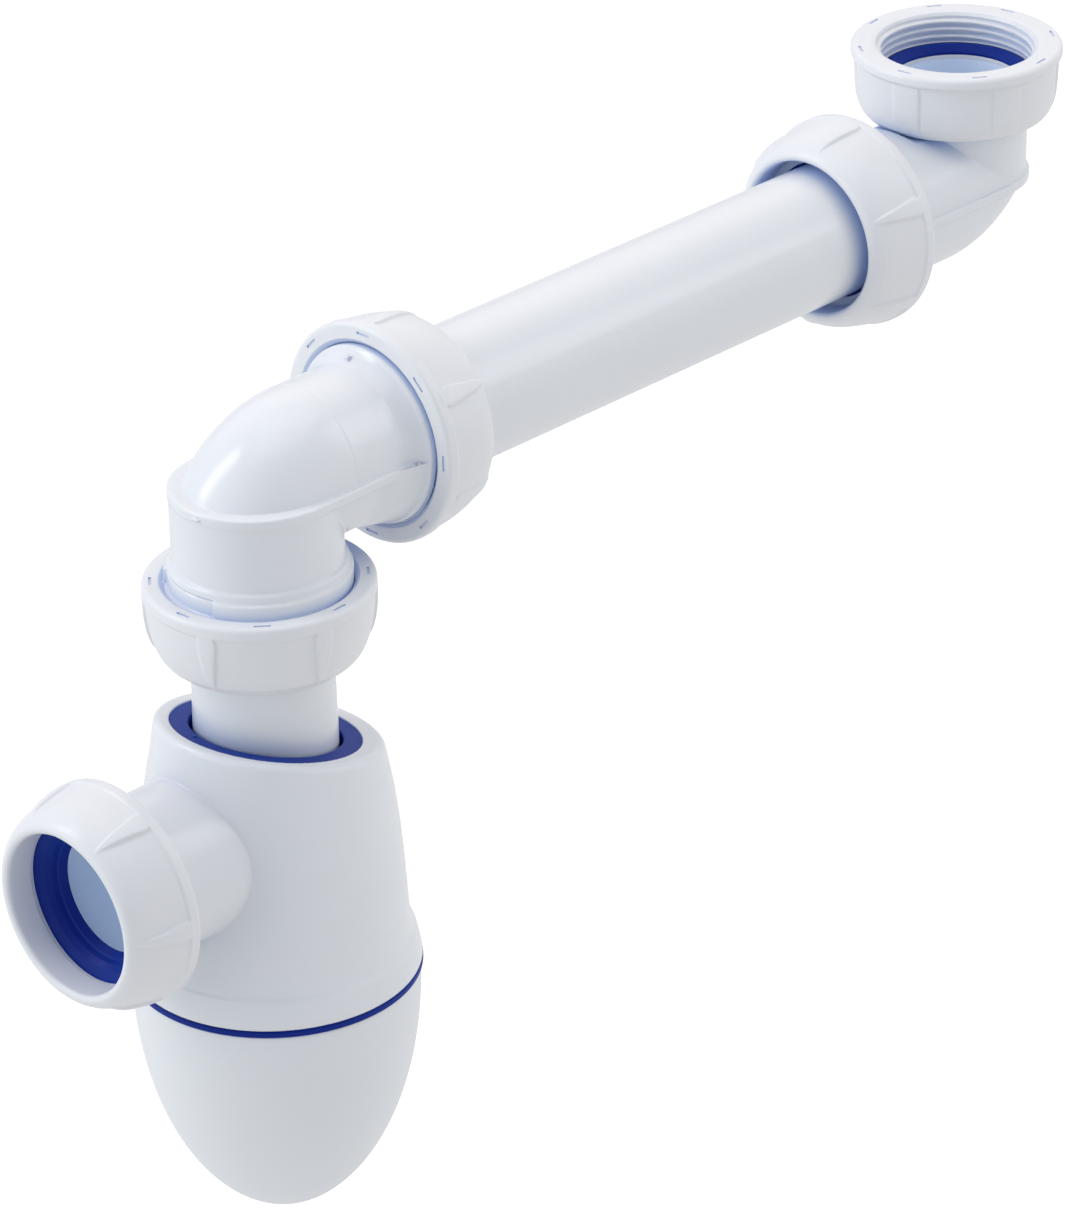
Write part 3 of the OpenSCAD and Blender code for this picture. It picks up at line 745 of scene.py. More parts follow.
def union_nut(name, place, rib_phase, slot_phase):
    ribbed_nut(
        name, place,
        # r, z, corner radius
        corners=[
            (27.3, 0, 0.5), (31.95, 0, 1.35), (32.0, -3.5, 0.8), (31.42, -4.2, 0.5),
            (31.28, -6, 0), (31.05, -9, 0), (30.75, -11.4, 0), (30.35, -13.8, 0),
            (29.8, -16.2, 0), (29.05, -18.5, 0), (28.2, -20.3, 0), (27.1, -21.7, 0),
            (25.8, -22.75, 0), (24.3, -23.5, 0.6), (22.6, -24.15, 0.6), (20.95, -24.68, 0.3),
            (20.55, -24.3, 0), (20.55, -20.5, 0.2), (24.2, -20.5, 0.3), (24.2, -13.6, 0.2),
            (NUT_CORE_R, -12.9, 0.2), (NUT_CORE_R, -1.3, 0.3)],
        refine=[(0.5, lambda r, z: r > 27.3 and -24.8 < z < -3.2 or r > 24 and z < -20.6),
                (0.22, bore_rows)],
        ribbed=lambda r, z: (z < -3.2) & ((r > 27.0) | (z < -21.0)) & (r > 22),
        leaf=LEAF,
        # z, rise
        height=table([(-25, 0), (-23.2, 0), (-21.5, 0.42), (-18, 0.85), (-14, 0.92), (-9, 0.82),
                      (-6, 0.72), (-4.2, 0.6), (-3.6, 0.05), (-3.2, 0.0), (0, 0)], 0.22),
        thread=nut_thread(UNION_THREAD_Z, bottom=-13),
        rib_phase=rib_phase, slots=big_slots(slot_phase))


def comp_nut(name, place, rib_phase, slot_phase, nicks):
    """nicks are the angles, in degrees, of two nicks in the bore at the small end."""
    coarse = nut_thread(COMP_THREAD_Z, bottom=-10.2)
    mm_per_degree = 0.44

    def thread(T, R, Z):
        R = coarse(T, R, Z)
        for a in nicks:
            along = ((np.degrees(T) - a + 180) % 360 - 180) * mm_per_degree
            on_bore = smoothstep(-19.3, -20.0, Z) * ((R > 22.9) & (R < 24.2))
            R = R + 0.32 * np.exp(-(along / 0.16) ** 2) * on_bore
        return R

    ribbed_nut(
        name, place,
        # r, z, corner radius
        corners=[
            (27.3, 0, 0.5), (31.95, 0, 1.35), (32.0, -3.5, 0.8), (31.42, -4.2, 0.5),
            (31.1, -6, 0), (30.75, -8, 0), (30.3, -10.2, 0), (29.9, -12.0, 0),
            (29.4, -14.0, 0), (28.8, -16.0, 0), (28.05, -17.8, 0), (27.15, -19.3, 0),
            (26.2, -20.35, 0), (25.3, -20.9, 0), (24.5, -21.0, 0), (23.8, -20.72, 0),
            (23.35, -20.15, 0), (23.18, -19.2, 0), (23.15, -12.5, 0.2), (24.7, -12.5, 0.2),
            (24.7, -10.6, 0.15), (NUT_CORE_R, -10.0, 0.2), (NUT_CORE_R, -1.3, 0.3)],
        refine=[(0.5, lambda r, z: z < -3.2 and (r > 27.3 or z < -18.8)), (0.22, bore_rows)],
        ribbed=lambda r, z: (z < -3.2) & (r > 26.4),
        leaf=lambda z: LEAF(z * 1.12),
        # z, rise
        height=table([(-21, 0), (-19.6, 0), (-18.0, 0.4), (-15, 0.85), (-12, 0.95), (-8, 0.85),
                      (-5.5, 0.72), (-4.2, 0.6), (-3.6, 0.05), (-3.2, 0.0), (0, 0)], 0.22),
        thread=thread,
        rib_phase=rib_phase, slots=big_slots(slot_phase))


def inlet_nut():
    rim = 31.4
    ribbed_nut(
        "inlet_nut", at_inlet,
        # r, z, corner radius
        corners=[
            (25.55, 0, 0.12), (rim - 0.02, 0, 1.35), (rim + 0.05, -3.0, 0.9),
            (rim - 1.45, -4.0, 0.6), (rim - 1.6, -7, 0), (rim - 1.7, -10, 0),
            (rim - 1.8, -13, 0), (rim - 2.0, -15.5, 0), (rim - 2.35, -17.6, 0),
            (rim - 3.0, -19.4, 0), (rim - 4.05, -20.8, 0), (rim - 5.7, -21.5, 0.6),
            (22.2, -21.5, 0.3), (21.9, -21.1, 0), (21.9, -15.0, 0.2), (23.75, -15.0, 0.2),
            (23.75, -9.95, 0.25), (INLET_CORE_R, -9.25, 0.2), (INLET_CORE_R, -2.3, 0.25),
            (23.6, -1.05, 0.3), (24.2, -0.32, 0.2)],
        refine=[(0.6, lambda r, z: r > 26.5 and z < -3.0),
                (0.12, lambda r, z: 22.0 < r < 24.4 and -9.9 < z < -0.9)],
        ribbed=lambda r, z: (z < -3.2) & (r > 26.0),
        # z, half width
        leaf=table([(-26, 4.0), (-18, 4.2), (-14, 4.35), (-8, 4.4), (-5, 4.4), (-3.9, 4.3),
                    (0, 4.3)], 0.3),
        # z, rise
        height=table([(-26, 0), (-20.2, 0), (-18.4, 0.14), (-15.5, 0.38), (-11, 0.5), (-6, 0.55),
                      (-4.4, 0.5), (-3.9, 0.3), (-3.3, 0), (0, 0)], 0.3),
        thread=inlet_thread,
        rib_phase=11, slots=dict(radius=29.0, phase=9.1, length=4.4, depth=0.42), flank=0.4)


inlet_nut()
union_nut("lower_nut", at_lower, rib_phase=20, slot_phase=3.7)
union_nut("middle_nut", at_middle, rib_phase=4, slot_phase=1.1)
comp_nut("pipe_nut", at_pipe_nut, rib_phase=5, slot_phase=10, nicks=(149, 338))
comp_nut("outlet_nut", at_outlet, rib_phase=28, slot_phase=5, nicks=(175, 3))


# ------------------------------------------------------------------ plain turned pieces
PIPE_BORE_R = 18.2
FLANGE_R = 23.4
FLANGE_H = 2.5
NECK_Z = -46.9                      # the bottle's slanted top, on its axis, below the lower nut's mouth
NECK_TILT = math.radians(13.5)
SEAT_Z = -60                        # the seat of the neck seal


def turned(name, corners, place, body, finish, columns=192, step=None, warp=None):
    """Lathes (r, z, corner radius) corners."""
    profile = fillet(corners)
    if step:
        profile = dense(profile, step)
    verts, quads = lathe(profile, columns, warp)
    build(name, place(verts), quads, body, finish, sharp=50)


def box_section(inner, outer, low, high, inner_round, outer_round):
    return [(inner, low, inner_round), (outer, low, outer_round),
            (outer, high, outer_round), (inner, high, inner_round)]


def offset_pipe():
    """Flanged at its -X end."""
    start, end = float(lows("offset_pipe")[0]), float(highs("offset_pipe")[0])
    flange = start + FLANGE_H
    turned("offset_pipe",
           [(PIPE_BORE_R, start, 0.2), (FLANGE_R, start, 0.4), (FLANGE_R, flange, 0.4),
            (20.0, flange, 0.5), (20.0, end, 0.6), (PIPE_BORE_R, end, 0.4)],
           facing_plus_x(0, PIPE_Z), "offset_pipe", "pp_gloss", columns=256)


def outlet_seal():
    """Unloaded seal: outer ring, hollow cone, bead and thin inner lip."""
    def flash_warp(T, R, Z):
        # uneven moulding flash on the outer ring, with one gap
        on_ring = smoothstep(21.3, 21.9, R) * smoothstep(-11.0, -11.35, Z)
        flash = 0.10 * np.sin(T * 61) * np.sin(T * 23 + 1.0) + 0.08 * np.sin(T * 137 + 2)
        gap = ((T - math.radians(148) + math.pi) % (2 * math.pi)) - math.pi
        flash = flash - 0.5 * np.exp(-(gap * 23 / 0.8) ** 2)
        return T, R, Z + on_ring * flash * 0.6

    turned("outlet_seal",
           [(24.4, -8.56, 0.3), (24.4, -11.42, 0.3), (23.35, -11.42, 0.2), (22.5, -11.1, 0.4),
            (20.6, -9.9, 0.6), (19.3, -8.4, 0.8), (18.7, -7.0, 0.5), (18.25, -6.75, 0.3),
            (17.75, -6.0, 0.4), (17.0, -4.9, 0.15), (17.05, -4.5, 0.12), (17.9, -4.7, 0.4),
            (19.9, -6.6, 0.6), (21.2, -7.6, 0.5), (22.6, -8.56, 0.3)],
           at_outlet, "bottle_body", "blue_rubber", columns=288, step=0.25, warp=flash_warp)


def dip_tube():
    """Flanged at its top."""
    low, high = float(lows("dip_tube")[2]), float(highs("dip_tube")[2])
    flange = high - FLANGE_H
    turned("dip_tube",
           [(PIPE_BORE_R, low, 0.4), (19.98, low, 0.6), (19.98, LOWER_Z - 46, 0),
            (19.72, LOWER_Z - 27, 0), (19.7, flange, 0.3), (FLANGE_R, flange, 0.4),
            (FLANGE_R, high, 0.4), (PIPE_BORE_R, high, 0.3)],
           upright(BOTTLE_X, 0), "dip_tube", "pp_gloss", columns=256)


def neck_seal():
    """Sleeve in the bottle's neck, drawn level and then sheared to the slanted top."""
    level_top = -20

    def slant_warp(T, R, Z):
        plane = NECK_Z - 0.35 - R * np.cos(T) * math.tan(NECK_TILT)
        t = np.clip((Z - SEAT_Z) / (level_top - SEAT_Z), 0, 1)
        Z = SEAT_Z + t * (plane - SEAT_Z)
        # the top is slightly wavy and carries one pip
        top = smoothstep(0.97, 1.0, t)
        Z = Z + top * 0.03 * np.sin(5 * T + 0.7)
        turn = (T - math.radians(171) + math.pi) % (2 * math.pi) - math.pi
        from_pip = np.hypot(turn * 22.8, R - 22.8)
        return T, R, Z + top * 0.45 * np.exp(-((from_pip / 0.55) ** 2))

    turned("neck_seal",
           [(20.08, SEAT_Z, 0.2), (26.25, SEAT_Z, 0.3), (26.28, level_top, 0.35),
            (21.2, level_top, 0.7), (21.3, -50, 0.4), (20.1, -54, 0.3)],
           at_lower, "bottle_body", "blue_rubber", columns=288, step=0.35, warp=slant_warp)


turned("inlet_washer",
       [(18.62, -2.45, 0.2), (22.28, -2.45, 0.2), (22.28, -0.02, 0.35), (20.75, -0.02, 0.3),
        (20.2, -0.35, 0.2), (18.65, -1.75, 0.3)],
       upright(0, 0), "inlet_elbow", "blue_rubber", columns=240, step=0.25)
offset_pipe()
for seal, place in (("middle_seal", at_middle), ("lower_seal", at_lower)):
    turned(seal, box_section(18.6, FLANGE_R, -14.98, -12.52, 0.4, 0.4), place, "lower_elbow",
           "blue_rubber")
for ring, place in (("middle_slip_ring", at_middle), ("lower_slip_ring", at_lower)):
    turned(ring, box_section(20.42, 23.95, -20.38, -17.62, 0.25, 0.4), place, ring, "pe_ring")
for ring, place, inner in (("pipe_slip_ring", at_pipe_nut, 20.75),
                           ("outlet_slip_ring", at_outlet, 23.3)):
    turned(ring, box_section(inner, 24.55, -12.4, -11.46, 0.2, 0.2), place, ring, "pe_ring")
# pressed round the offset pipe
turned("pipe_seal",
       [(20.05, -11.3, 0.3), (24.5, -11.4, 0.25), (24.5, -8.56, 0.3), (22.85, -8.56, 0.3),
        (20.75, -6.0, 0.25), (20.08, -6.4, 0.15), (20.08, -7.6, 0.3), (20.9, -8.4, 0.3),
        (20.9, -9.2, 0.3), (20.08, -9.9, 0.3)],
       at_pipe_nut, "inlet_elbow", "blue_rubber", step=0.3)
outlet_seal()
dip_tube()
neck_seal()
turned("cup_gasket", box_section(36.75, 41.25, CUP_Z + 0.01, CUP_Z + 2.04, 0.3, 0.55),
       upright(BOTTLE_X, 0), "cup_gasket", "blue_rubber", columns=256)


# ------------------------------------------------------------------ cleanout cup
CUP_R = 40.57
CUP_DEPTH = 76.9
CUP_WALL = 2.4
LUGS = 3
LUG_START, LUG_SPAN = 9, 22         # degrees
LUG_STEPS = 12
LUG_Z = -113.6                      # the lugs' underside, below the lower nut's mouth


def cup():
    """Superellipse bowl hanging from height 0, with a skirt that goes up into the bottle."""
    def bowl(radius, depth):
        t = np.sin(np.linspace(0, math.pi / 2, 84))
        return np.c_[radius * np.power(np.maximum(1 - t ** 2.124, 0), 1 / 1.887), -depth * t]

    outer = bowl(CUP_R, CUP_DEPTH)
    inner = bowl(CUP_R - CUP_WALL, CUP_DEPTH - CUP_WALL)[::-1]
    outer = outer[outer[:, 1] < -1.0]
    outer[-1] = [0, -CUP_DEPTH]
    inner = inner[inner[:, 1] < -3.2]
    inner[0] = [0, -(CUP_DEPTH - CUP_WALL)]
    # r, z
    rim = [[36.25, -0.06], [40.0, -0.06], [40.28, -0.12], [40.46, -0.28], [40.55, -0.55],
           [CUP_R, -0.8]]
    skirt = [[CUP_R - CUP_WALL, -3.0], [34.4, 1.2], [33.85, 2.2], [33.8, 12.0], [34.1, 12.4],
             [35.8, 12.4], [36.2, 12.0], [36.2, 0.4]]
    verts, quads = lathe(np.concatenate([rim, outer, inner, skirt]), 224)
    verts = upright(BOTTLE_X, CUP_Z)(verts)
    obj = build("cleanout_cup", verts, quads, "cleanout_cup", "pp_cup")
    weld(obj.data, 1e-7)
    obj.data.set_sharp_from_angle(angle=math.radians(50))


def cup_lugs():
    """Bayonet lugs on the skirt."""
    # r, z
    section = [(35.6, 0.0), (37.2, 0.0), (37.65, 0.45), (37.65, 1.95), (37.2, 2.4), (35.6, 2.4)]
    size = len(section)
    verts, quads = [], []
    for k in range(LUGS):
        start = math.radians(360 // LUGS * k + LUG_START)
        n = len(verts)
        for i in range(LUG_STEPS + 1):
            t = start + math.radians(LUG_SPAN) * i / LUG_STEPS
            verts += [[r * math.cos(t), r * math.sin(t), z] for r, z in section]
        for i in range(LUG_STEPS):
            a, b = n + i * size, n + (i + 1) * size
            quads += [[a + j, b + j, b + (j + 1) % size, a + (j + 1) % size]
                      for j in range(size)]
        for cap in ((0, 1, 2, 5), (2, 3, 4, 5)):
            quads.append([n + c for c in cap])
            quads.append([n + LUG_STEPS * size + c for c in cap[::-1]])
    verts = upright(BOTTLE_X, LOWER_Z + LUG_Z)(np.array(verts))
    build("cup_lugs", verts, quads, "cleanout_cup", "pp_cup", replaces=False, sharp=30)


cup()
cup_lugs()

# ------------------------------------------------------------------ elbows and body
# Outer radii against the height u along a joint, 0 at the nut's mouth. A leg's end has negative u.
UNION_END = -12.5
COMP_END = -8.5
UNION_DOWN = table([(-12.5, 25.1), (-12.1, 25.6), (3.1, 25.75), (3.5, 25.6), (3.75, 24.85),
                    (5.75, 24.7), (6.1, 24.3), (6.5, 23.55), (7.2, 23.5), (30, 23.5)], 0.16)
UNION_SIDE_TOP = table([(-12.5, 25.1), (-12.1, 25.6), (0.5, 25.7), (1.0, 25.3), (1.4, 24.75),
                        (2.4, 23.95), (3.6, 23.2), (5.0, 22.55), (6.6, 22.12), (8.5, 22.0),
                        (45, 22.0)], 0.2)
UNION_SIDE_UNDER = table([(-12.5, 25.1), (-12.1, 25.6), (0.9, 25.7), (1.4, 25.2), (1.9, 24.9),
                          (14.5, 22.15), (15.5, 22.0), (45, 22.0)], 0.2)
COMP_COLLAR = [(-8.5, 25.1), (-8.1, 25.6), (-1.0, 25.6), (-0.6, 25.2), (0.6, 23.6)]
COMP_LEG = table(COMP_COLLAR + [(0.95, 22.1), (1.4, 22.0), (50, 22.0)], 0.16)
COMP_STUB = table(COMP_COLLAR + [(0.95, 22.6), (1.4, 22.5), (60, 22.5)], 0.16)

# the bottle's radii against height below the lower nut's mouth
BOTTLE_OUTER = table([
    (-119.3, 41.15), (-118, 41.05), (-116, 40.75), (-114, 40.35), (-112, 39.9), (-111, 39.62),
    (-110.0, 38.98), (-109, 38.75), (-107.4, 38.35), (-105, 37.95), (-103, 37.75), (-101, 37.65),
    (-96, 37.4), (-90, 37.05), (-84, 36.6), (-78, 36.1), (-72, 35.45), (-67, 34.8), (-62, 34),
    (-58, 33.3), (-54, 32.5), (-50, 31.85), (-46, 31.2), (-42, 30.6), (-34, 29.4)], 0.22)
BOTTLE_INNER = table([(-121, 36.6), (-108.2, 36.6), (-107.5, 35.5), (-103, 35.3), (-96, 35),
                      (-84, 34.2), (-72, 33), (-65, 31.3), (-62.6, 28.5)], 0.2)

LOWER_TUBE_R, LOWER_BORE_R = 22, 19
INLET_TUBE_R, INLET_BORE_R = 22.25, 18.6
SOCKET_R = 20.4
INLET_BEND_R = 16
CELL = 0.8 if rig.quick() else 0.42


def notch(angle, start, end, soft=0.9):
    """1 inside the sector from start to end degrees, with steep ends."""
    d = (np.degrees(angle) - start) % 360
    width = (end - start) % 360
    return np.where(d < width, np.minimum(1, np.minimum(d, width - d) / soft), 0)


def socket(r, u):
    """Pipe socket that flares towards the leg's end."""
    return r - (SOCKET_R + np.clip(-5.5 - u, 0, 4) * 0.87)


def lower_outside(x, y, z):
    """Local frame: the legs' axes cross at the origin, one leg down, the other towards +X."""
    r_down, r_side = np.hypot(x, y), np.hypot(y, z)
    u = z - (LOWER_Z - PIPE_Z)
    angle = np.arctan2(y, x)
    radius = UNION_DOWN(u) + union_leg_thread(u, angle)
    step = smoothstep(-1.8, -1.2, u) * smoothstep(4.2, 3.4, u)
    radius = radius - 0.95 * notch(angle, 138, 198.5) * step
    leg = smax(smax((r_down - radius) * 0.8, z - 0.25, 0.7), UNION_END - u, 0.6)
    # moulding lip, a flat band round the elbow below the crossing axes
    edge = 23.75
    side = np.where(x < 0, r_down - edge, np.abs(y) - (edge - np.clip(x, 0, 60) / 39.5))
    lip = smax(smax(side, z - 0.28, 0.8), -2.55 - z, 0.35)
    lip = smax(lip, x - 40.2, 0.4)
    # the bend's upper half
    bend = np.hypot(np.hypot(x - 18, z + 22.5) - 22.5, y) - LOWER_TUBE_R
    dome = np.where(x < 18, bend, r_side - LOWER_TUBE_R)
    dome = smax(smax(dome, -0.3 - z, 0.2), x - 30, 0.2)
    u = MIDDLE_X - BOTTLE_X - x
    thread = union_leg_thread(u, np.arctan2(y, z))
    upper = (r_side - UNION_SIDE_TOP(u) - thread) * 0.85
    under = (r_side - UNION_SIDE_UNDER(u) - thread) * 0.85
    across = smax(np.where(z > 0, upper, under), np.where(z > 0.1, 17.6, -2.0) - x, 0.3)
    across = smax(across, UNION_END - u, 0.6)
    # square nib on top of the flare, and an oval gate mark on the lip
    nib = smax(smax(slab(x, 37.7, 0.75), slab(y, 2.4, 0.75), 0.3), slab(z, 23.1, 1.0), 0.3)
    a = math.radians(186)
    gate_x, gate_y = 24.0 * math.cos(a), 24.0 * math.sin(a)
    gate = np.sqrt(((x - gate_x) * 0.9) ** 2 + ((y - gate_y) * 0.45) ** 2
                   + ((z + 1.2) * 1.6) ** 2) - 0.62
    d = smin(smin(leg, lip, 0.35), smin(dome, across, 0.3), 0.45)
    return smin(smin(d, nib, 0.3), gate, 0.4)


def lower_waterway(x, y, z):
    down = smax(np.hypot(x, y) - LOWER_BORE_R, z + 4, 0.3)
    corner = np.sqrt((x - 4) ** 2 + y * y + (z + 4) ** 2) - 18.6
    across = smax(np.hypot(y, z) - LOWER_BORE_R, 8 - x, 0.3)
    return np.minimum(np.minimum(down, corner), across)


def inlet_outside(x, y, z):
    """Local frame: the legs' axes cross at the origin, one leg up, the other towards -X."""
    r_up, r_side = np.hypot(x, y), np.hypot(y, z)
    top = -2.5 - PIPE_Z
    radius = np.interp(z, [0, top - 5.6, top - 3.15, top - 3.05, top],
                       [21.4, 21.4, 21.75, 23.3, 23.3])
    leg = smax(smax((r_up - radius) * 0.7, -0.25 - z, 0.6), z - top, 0.3)
    # moulding lip, a flat band round the elbow above the crossing axes
    side = np.where(x > 0, r_up - 22.35, np.abs(y) - 22.75)
    lip = smax(smax(side, z - 2.55, 0.6), -0.25 - z, 0.35)
    lip = smax(lip, PIPE_NUT_X + 1.2 - x, 0.4)
    # the bend's lower half
    bend = np.hypot(np.hypot(x + 18, z - 22.5) - 22.7, y) - INLET_TUBE_R
    dome = np.where(x > -18, bend, np.hypot(y, z + 0.2) - INLET_TUBE_R)
    dome = smax(smax(dome, z - 0.3, 0.2), -43.8 - x, 0.2)
    u = x - PIPE_NUT_X
    across = (r_side - COMP_LEG(u) - comp_leg_thread(u, np.arctan2(-y, -z))) * 0.85
    across = smax(smax(across, x - np.where(z < -0.1, -17.6, 2.0), 0.3), COMP_END - u, 0.6)
    d = smin(smin(leg, lip, 0.5), smin(dome, across, 0.3), 0.25)
    # flat where the inlet nut turns over the horizontal leg
    flat = smax(smax(21.6 - r_up, r_up - 28.2, 0.2), slab(z, 22.4, 2.1), 0.2)
    return smax(d, -flat, 0.2)


def inlet_waterway(x, y, z):
    r_side = np.hypot(y, z)
    up = smax(np.hypot(x, y) - INLET_BORE_R, 4 - z, 0.3)
    off_bend = np.hypot(x + INLET_BEND_R, z - INLET_BEND_R) - INLET_BEND_R
    bend = smax(np.where(x > -INLET_BEND_R, np.hypot(off_bend, y) - 18, 9), z - 16.5, 0.3)
    mouth = smax(socket(r_side, x - PIPE_NUT_X), x + 28.8, 0.3)
    across = smax(r_side - 18.3, x + 8, 0.3)
    return np.minimum(np.minimum(up, bend), np.minimum(mouth, across))


def body_outside(x, y, z):
    """Local frame: the bottle's axis, height 0 at the lower nut's mouth."""
    slant = x * math.sin(NECK_TILT) + (z - NECK_Z) * math.cos(NECK_TILT)
    body = smax((np.hypot(x, y) - BOTTLE_OUTER(z)) * 0.9, slant, 2.1)
    body = smax(body, -119.05 - z, 0.5)
    outlet_z = OUTLET_Z - LOWER_Z
    u = x - (OUTLET_X - BOTTLE_X)
    thread = comp_leg_thread(u, np.arctan2(-y, -(z - outlet_z)))
    stub = (np.hypot(y, z - outlet_z) - COMP_STUB(u) - thread) * 0.85
    stub = smax(smax(stub, x + 24, 0.3), COMP_END - u, 0.6)
    return smin(body, stub, 0.35)


def body_waterway(x, y, z):
    r = np.hypot(x, y)
    seat = smax(r - 26.33, SEAT_Z - z, 0.3)
    throat = smax(r - 21.6, -68 - z, 0.3)
    cavity = smax(r - BOTTLE_INNER(z), z + 62.6, 0.5)
    groove = smax(r - 37.95, slab(z, -113.2, 2.4), 0.3)
    r_side = np.hypot(y, z - (OUTLET_Z - LOWER_Z))
    u = x - (OUTLET_X - BOTTLE_X)
    mouth = smax(socket(r_side, u), u - 10, 0.3)
    outlet = smax(r_side - 17, u - 30, 0.3)
    return np.minimum.reduce([seat, throat, cavity, groove, mouth, outlet])


def hollow(name, outside, waterway, rounding, low, high, cell, place):
    """Nets a solid with its waterway cut out, and gives the inside faces a lighter, bluer copy of the plastic with a
    painted glow: painted bounce light.
    """
    def shape(x, y, z):
        return smax(outside(x, y, z), -waterway(x, y, z), rounding)

    verts, quads, normals = surface_net(shape, low, high, cell)
    obj = build(name, place(verts), quads, name, "pp_gloss", normals=normals)
    middle = verts[quads].mean(1)
    deep = outside(middle[:, 0], middle[:, 1], middle[:, 2]) < -1.15
    # the faces deep inside take the lighter, bluer copy: painted bounce light
    obj.data.materials.append(MATERIALS["pp_inner"])
    # validation in build() may have dropped faces, and then the two lists no longer match
    if len(obj.data.polygons) == len(deep):
        obj.data.polygons.foreach_set("material_index", deep.astype(np.int32))


hollow("lower_elbow", lower_outside, lower_waterway, 0.3, (-27.5, -29, -42.5), (56.5, 29, 29),
       CELL, upright(BOTTLE_X, PIPE_Z))
hollow("inlet_elbow", inlet_outside, inlet_waterway, 0.3, (-56, -29, -29), (27, 29, 33),
       CELL, upright(0, PIPE_Z))
hollow("bottle_body", body_outside, body_waterway, 0.4, (-66, -44, -122), (44, 44, -34),
       CELL * 1.1, at_lower)

# ------------------------------------------------------------------ stage, light, camera (metres)
YAW, PITCH, ROLL = 0.7843, 0.4782, -0.0195      # the camera's, in radians
CAMERA_PLACE = (-1.1924, -1.0127, 0.6325)
SENSOR_WIDTH = 36.0                 # mm
FOCAL_LENGTH = 168.222517           # mm
LIGHT_TARGET = np.array([-0.19, 0.0, -0.12])

FLOOR_HALF = 6.0
FLOOR_DROP = 0.036                  # below the CAD pieces
FLOOR_LIGHT, FLOOR_SEEN = 0.49, 0.86    # emission towards the scene and towards the camera

# soft lobes of the sky: side and elevation in degrees, colour
LOBE_GAIN = 0.87
LOBE_POWER = 3.0
LOBES = [
    (300, 8, (1.77, 1.86, 1.65)), (60, 8, (1.0, 0.92, 0.70)), (120, 8, (0.85, 0.90, 0.85)),
    (240, 8, (0.28, 0.32, 0.40)), (180, 45, (1.15, 1.02, 0.75)), (270, 45, (0.08, 0.0, 0.0))]
SKY_BASE = (0.0, 0.043, 0.18)

# area lights: name, side and elevation in degrees, distance, size, power in watts
BOXES = [
    ("top_box", 0, 88, 1.2, (0.9, 0.9), 2.6),
    ("left_box", 270, 40, 1.3, (0.32, 0.8), 3.9),
    ("right_box", 90, 40, 1.3, (0.4, 0.8), 1.7),
    ("back_box", 180, 45, 1.3, (0.9, 0.6), 0.3)]


def camera_direction(side, elevation):
    """Unit vector, its side turned from the camera's side of the scene towards the camera's right."""
    a, e = math.radians(side), math.radians(elevation)
    back = np.array([-math.sin(YAW), -math.cos(YAW), 0])
    right = np.array([math.cos(YAW), -math.sin(YAW), 0])
    d = back * math.cos(a) + right * math.sin(a)
    return np.array([d[0] * math.cos(e), d[1] * math.cos(e), math.sin(e)])


def floor_material():
    """Matt grey that also glows."""
    tree, output = new_material("floor")
    matt = add(tree, "BsdfPrincipled", {
        "Base Color": (0.3, 0.3, 0.3, 1), "Roughness": 0.9, "Specular IOR Level": 0.1})
    glow = add(tree, "Emission", {"Color": (1, 1, 1, 1)})
    seen = add(tree, "LightPath").outputs["Is Camera Ray"]
    strength = map_range(tree, seen, to_min=FLOOR_LIGHT, to_max=FLOOR_SEEN)
    wire(tree, glow, {"Strength": strength})
    both = add(tree, "AddShader", {0: matt.outputs[0], 1: glow.outputs[0]})
    wire(tree, output, {0: both.outputs[0]})


def make_floor():
    z = float(min(c[2] for c in CAD_BOX)) - FLOOR_DROP
    s = FLOOR_HALF
    mesh = bpy.data.meshes.new("floor")
    mesh.from_pydata([(-s, -s, z), (s, -s, z), (s, s, z), (-s, s, z)], [], [(0, 1, 2, 3)])
    floor = bpy.data.objects.new("floor", mesh)
    bpy.context.scene.collection.objects.link(floor)
    floor_material()
    mesh.materials.append(MATERIALS["floor"])
    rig.stage(floor)


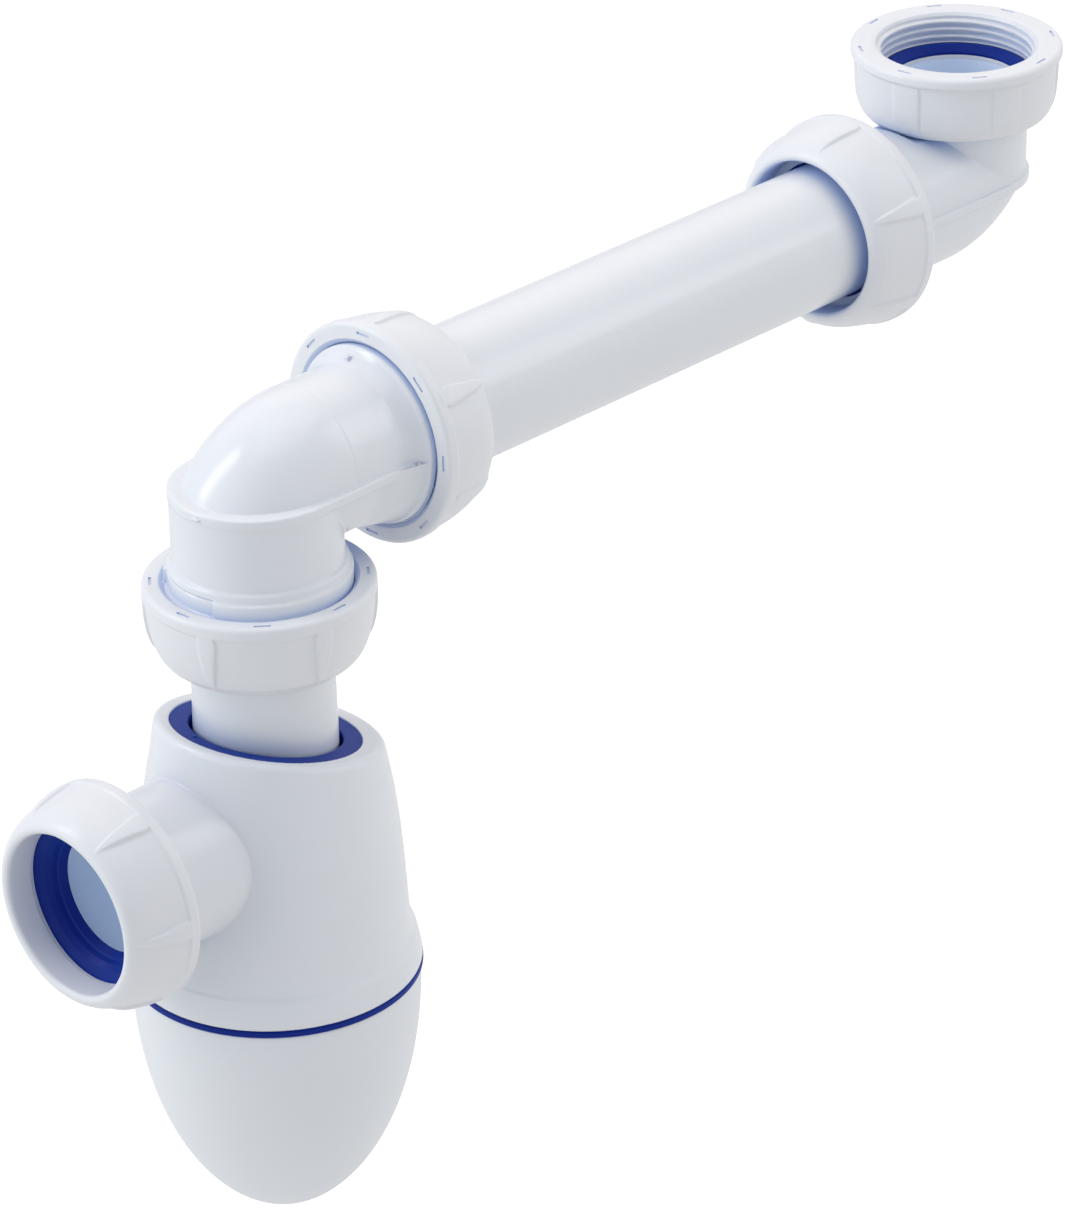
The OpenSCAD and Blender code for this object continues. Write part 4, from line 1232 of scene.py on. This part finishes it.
def make_world():
    """Sum of the lobes over a base colour, and plain white to the camera."""
    world = bpy.data.worlds.new("studio")
    bpy.context.scene.world = world
    world.use_nodes = True
    tree = world.node_tree
    tree.nodes.clear()
    output = add(tree, "OutputWorld")
    direction = add(tree, "TexCoord").outputs["Generated"]
    total = None
    for side, elevation, colour in LOBES:
        axis = camera_direction(side, elevation)
        dot = add(tree, "VectorMath", {0: direction, 1: axis}, operation="DOT_PRODUCT")
        front = add(tree, "Math", {0: dot.outputs["Value"], 1: 0.0}, operation="MAXIMUM")
        falloff = add(tree, "Math", {0: front.outputs[0], 1: LOBE_POWER}, operation="POWER")
        tint = tuple(LOBE_GAIN * c for c in colour)
        lobe = add(tree, "VectorMath", {0: tint, "Scale": falloff.outputs[0]},
                   operation="SCALE").outputs[0]
        terms = {0: lobe, 1: SKY_BASE} if total is None else {0: total, 1: lobe}
        total = add(tree, "VectorMath", terms).outputs[0]
    seen = add(tree, "LightPath").outputs["Is Camera Ray"]
    colour = mix(tree, seen, total, (1.0, 1.0, 1.0, 1))
    background = add(tree, "Background", {0: colour})
    wire(tree, output, {0: background.outputs[0]})


def area_light(name, side, elevation, distance, size, power):
    place = LIGHT_TARGET + distance * camera_direction(side, elevation)
    light = bpy.data.lights.new(name, "AREA")
    light.shape = "RECTANGLE"
    light.size, light.size_y = size
    light.energy = power
    obj = bpy.data.objects.new(name, light)
    bpy.context.scene.collection.objects.link(obj)
    obj.location = place
    aim = Vector(LIGHT_TARGET) - Vector(place)
    obj.rotation_euler = aim.to_track_quat("-Z", "Y").to_euler()


def make_camera():
    scene = bpy.context.scene
    data = bpy.data.cameras.new("camera")
    camera = bpy.data.objects.new("camera", data)
    scene.collection.objects.link(camera)
    forward = Vector((math.sin(YAW) * math.cos(PITCH), math.cos(YAW) * math.cos(PITCH),
                      -math.sin(PITCH)))
    level = Vector((math.cos(YAW), -math.sin(YAW), 0))
    upward = level.cross(forward)
    right = math.cos(ROLL) * level + math.sin(ROLL) * upward
    up = -math.sin(ROLL) * level + math.cos(ROLL) * upward
    pose = Matrix([(right[i], up[i], -forward[i]) for i in range(3)]).to_4x4()
    pose.translation = Vector(CAMERA_PLACE)
    camera.matrix_world = pose
    data.sensor_width = SENSOR_WIDTH
    data.lens = FOCAL_LENGTH
    data.clip_end = 30
    scene.camera = camera


make_floor()
make_world()
for box in BOXES:
    area_light(*box)
bpy.context.scene.view_settings.view_transform = "Standard"
make_camera()

bpy.context.view_layer.update()
VIS_BOX = [list(map(float, c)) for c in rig.bounds()]
# the folder may be missing or read-only, and the build doesn't depend on the file
try:
    json.dump({"cad": CAD_BOX, "visual": VIS_BOX}, open("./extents.json", "w"))
except OSError:
    pass
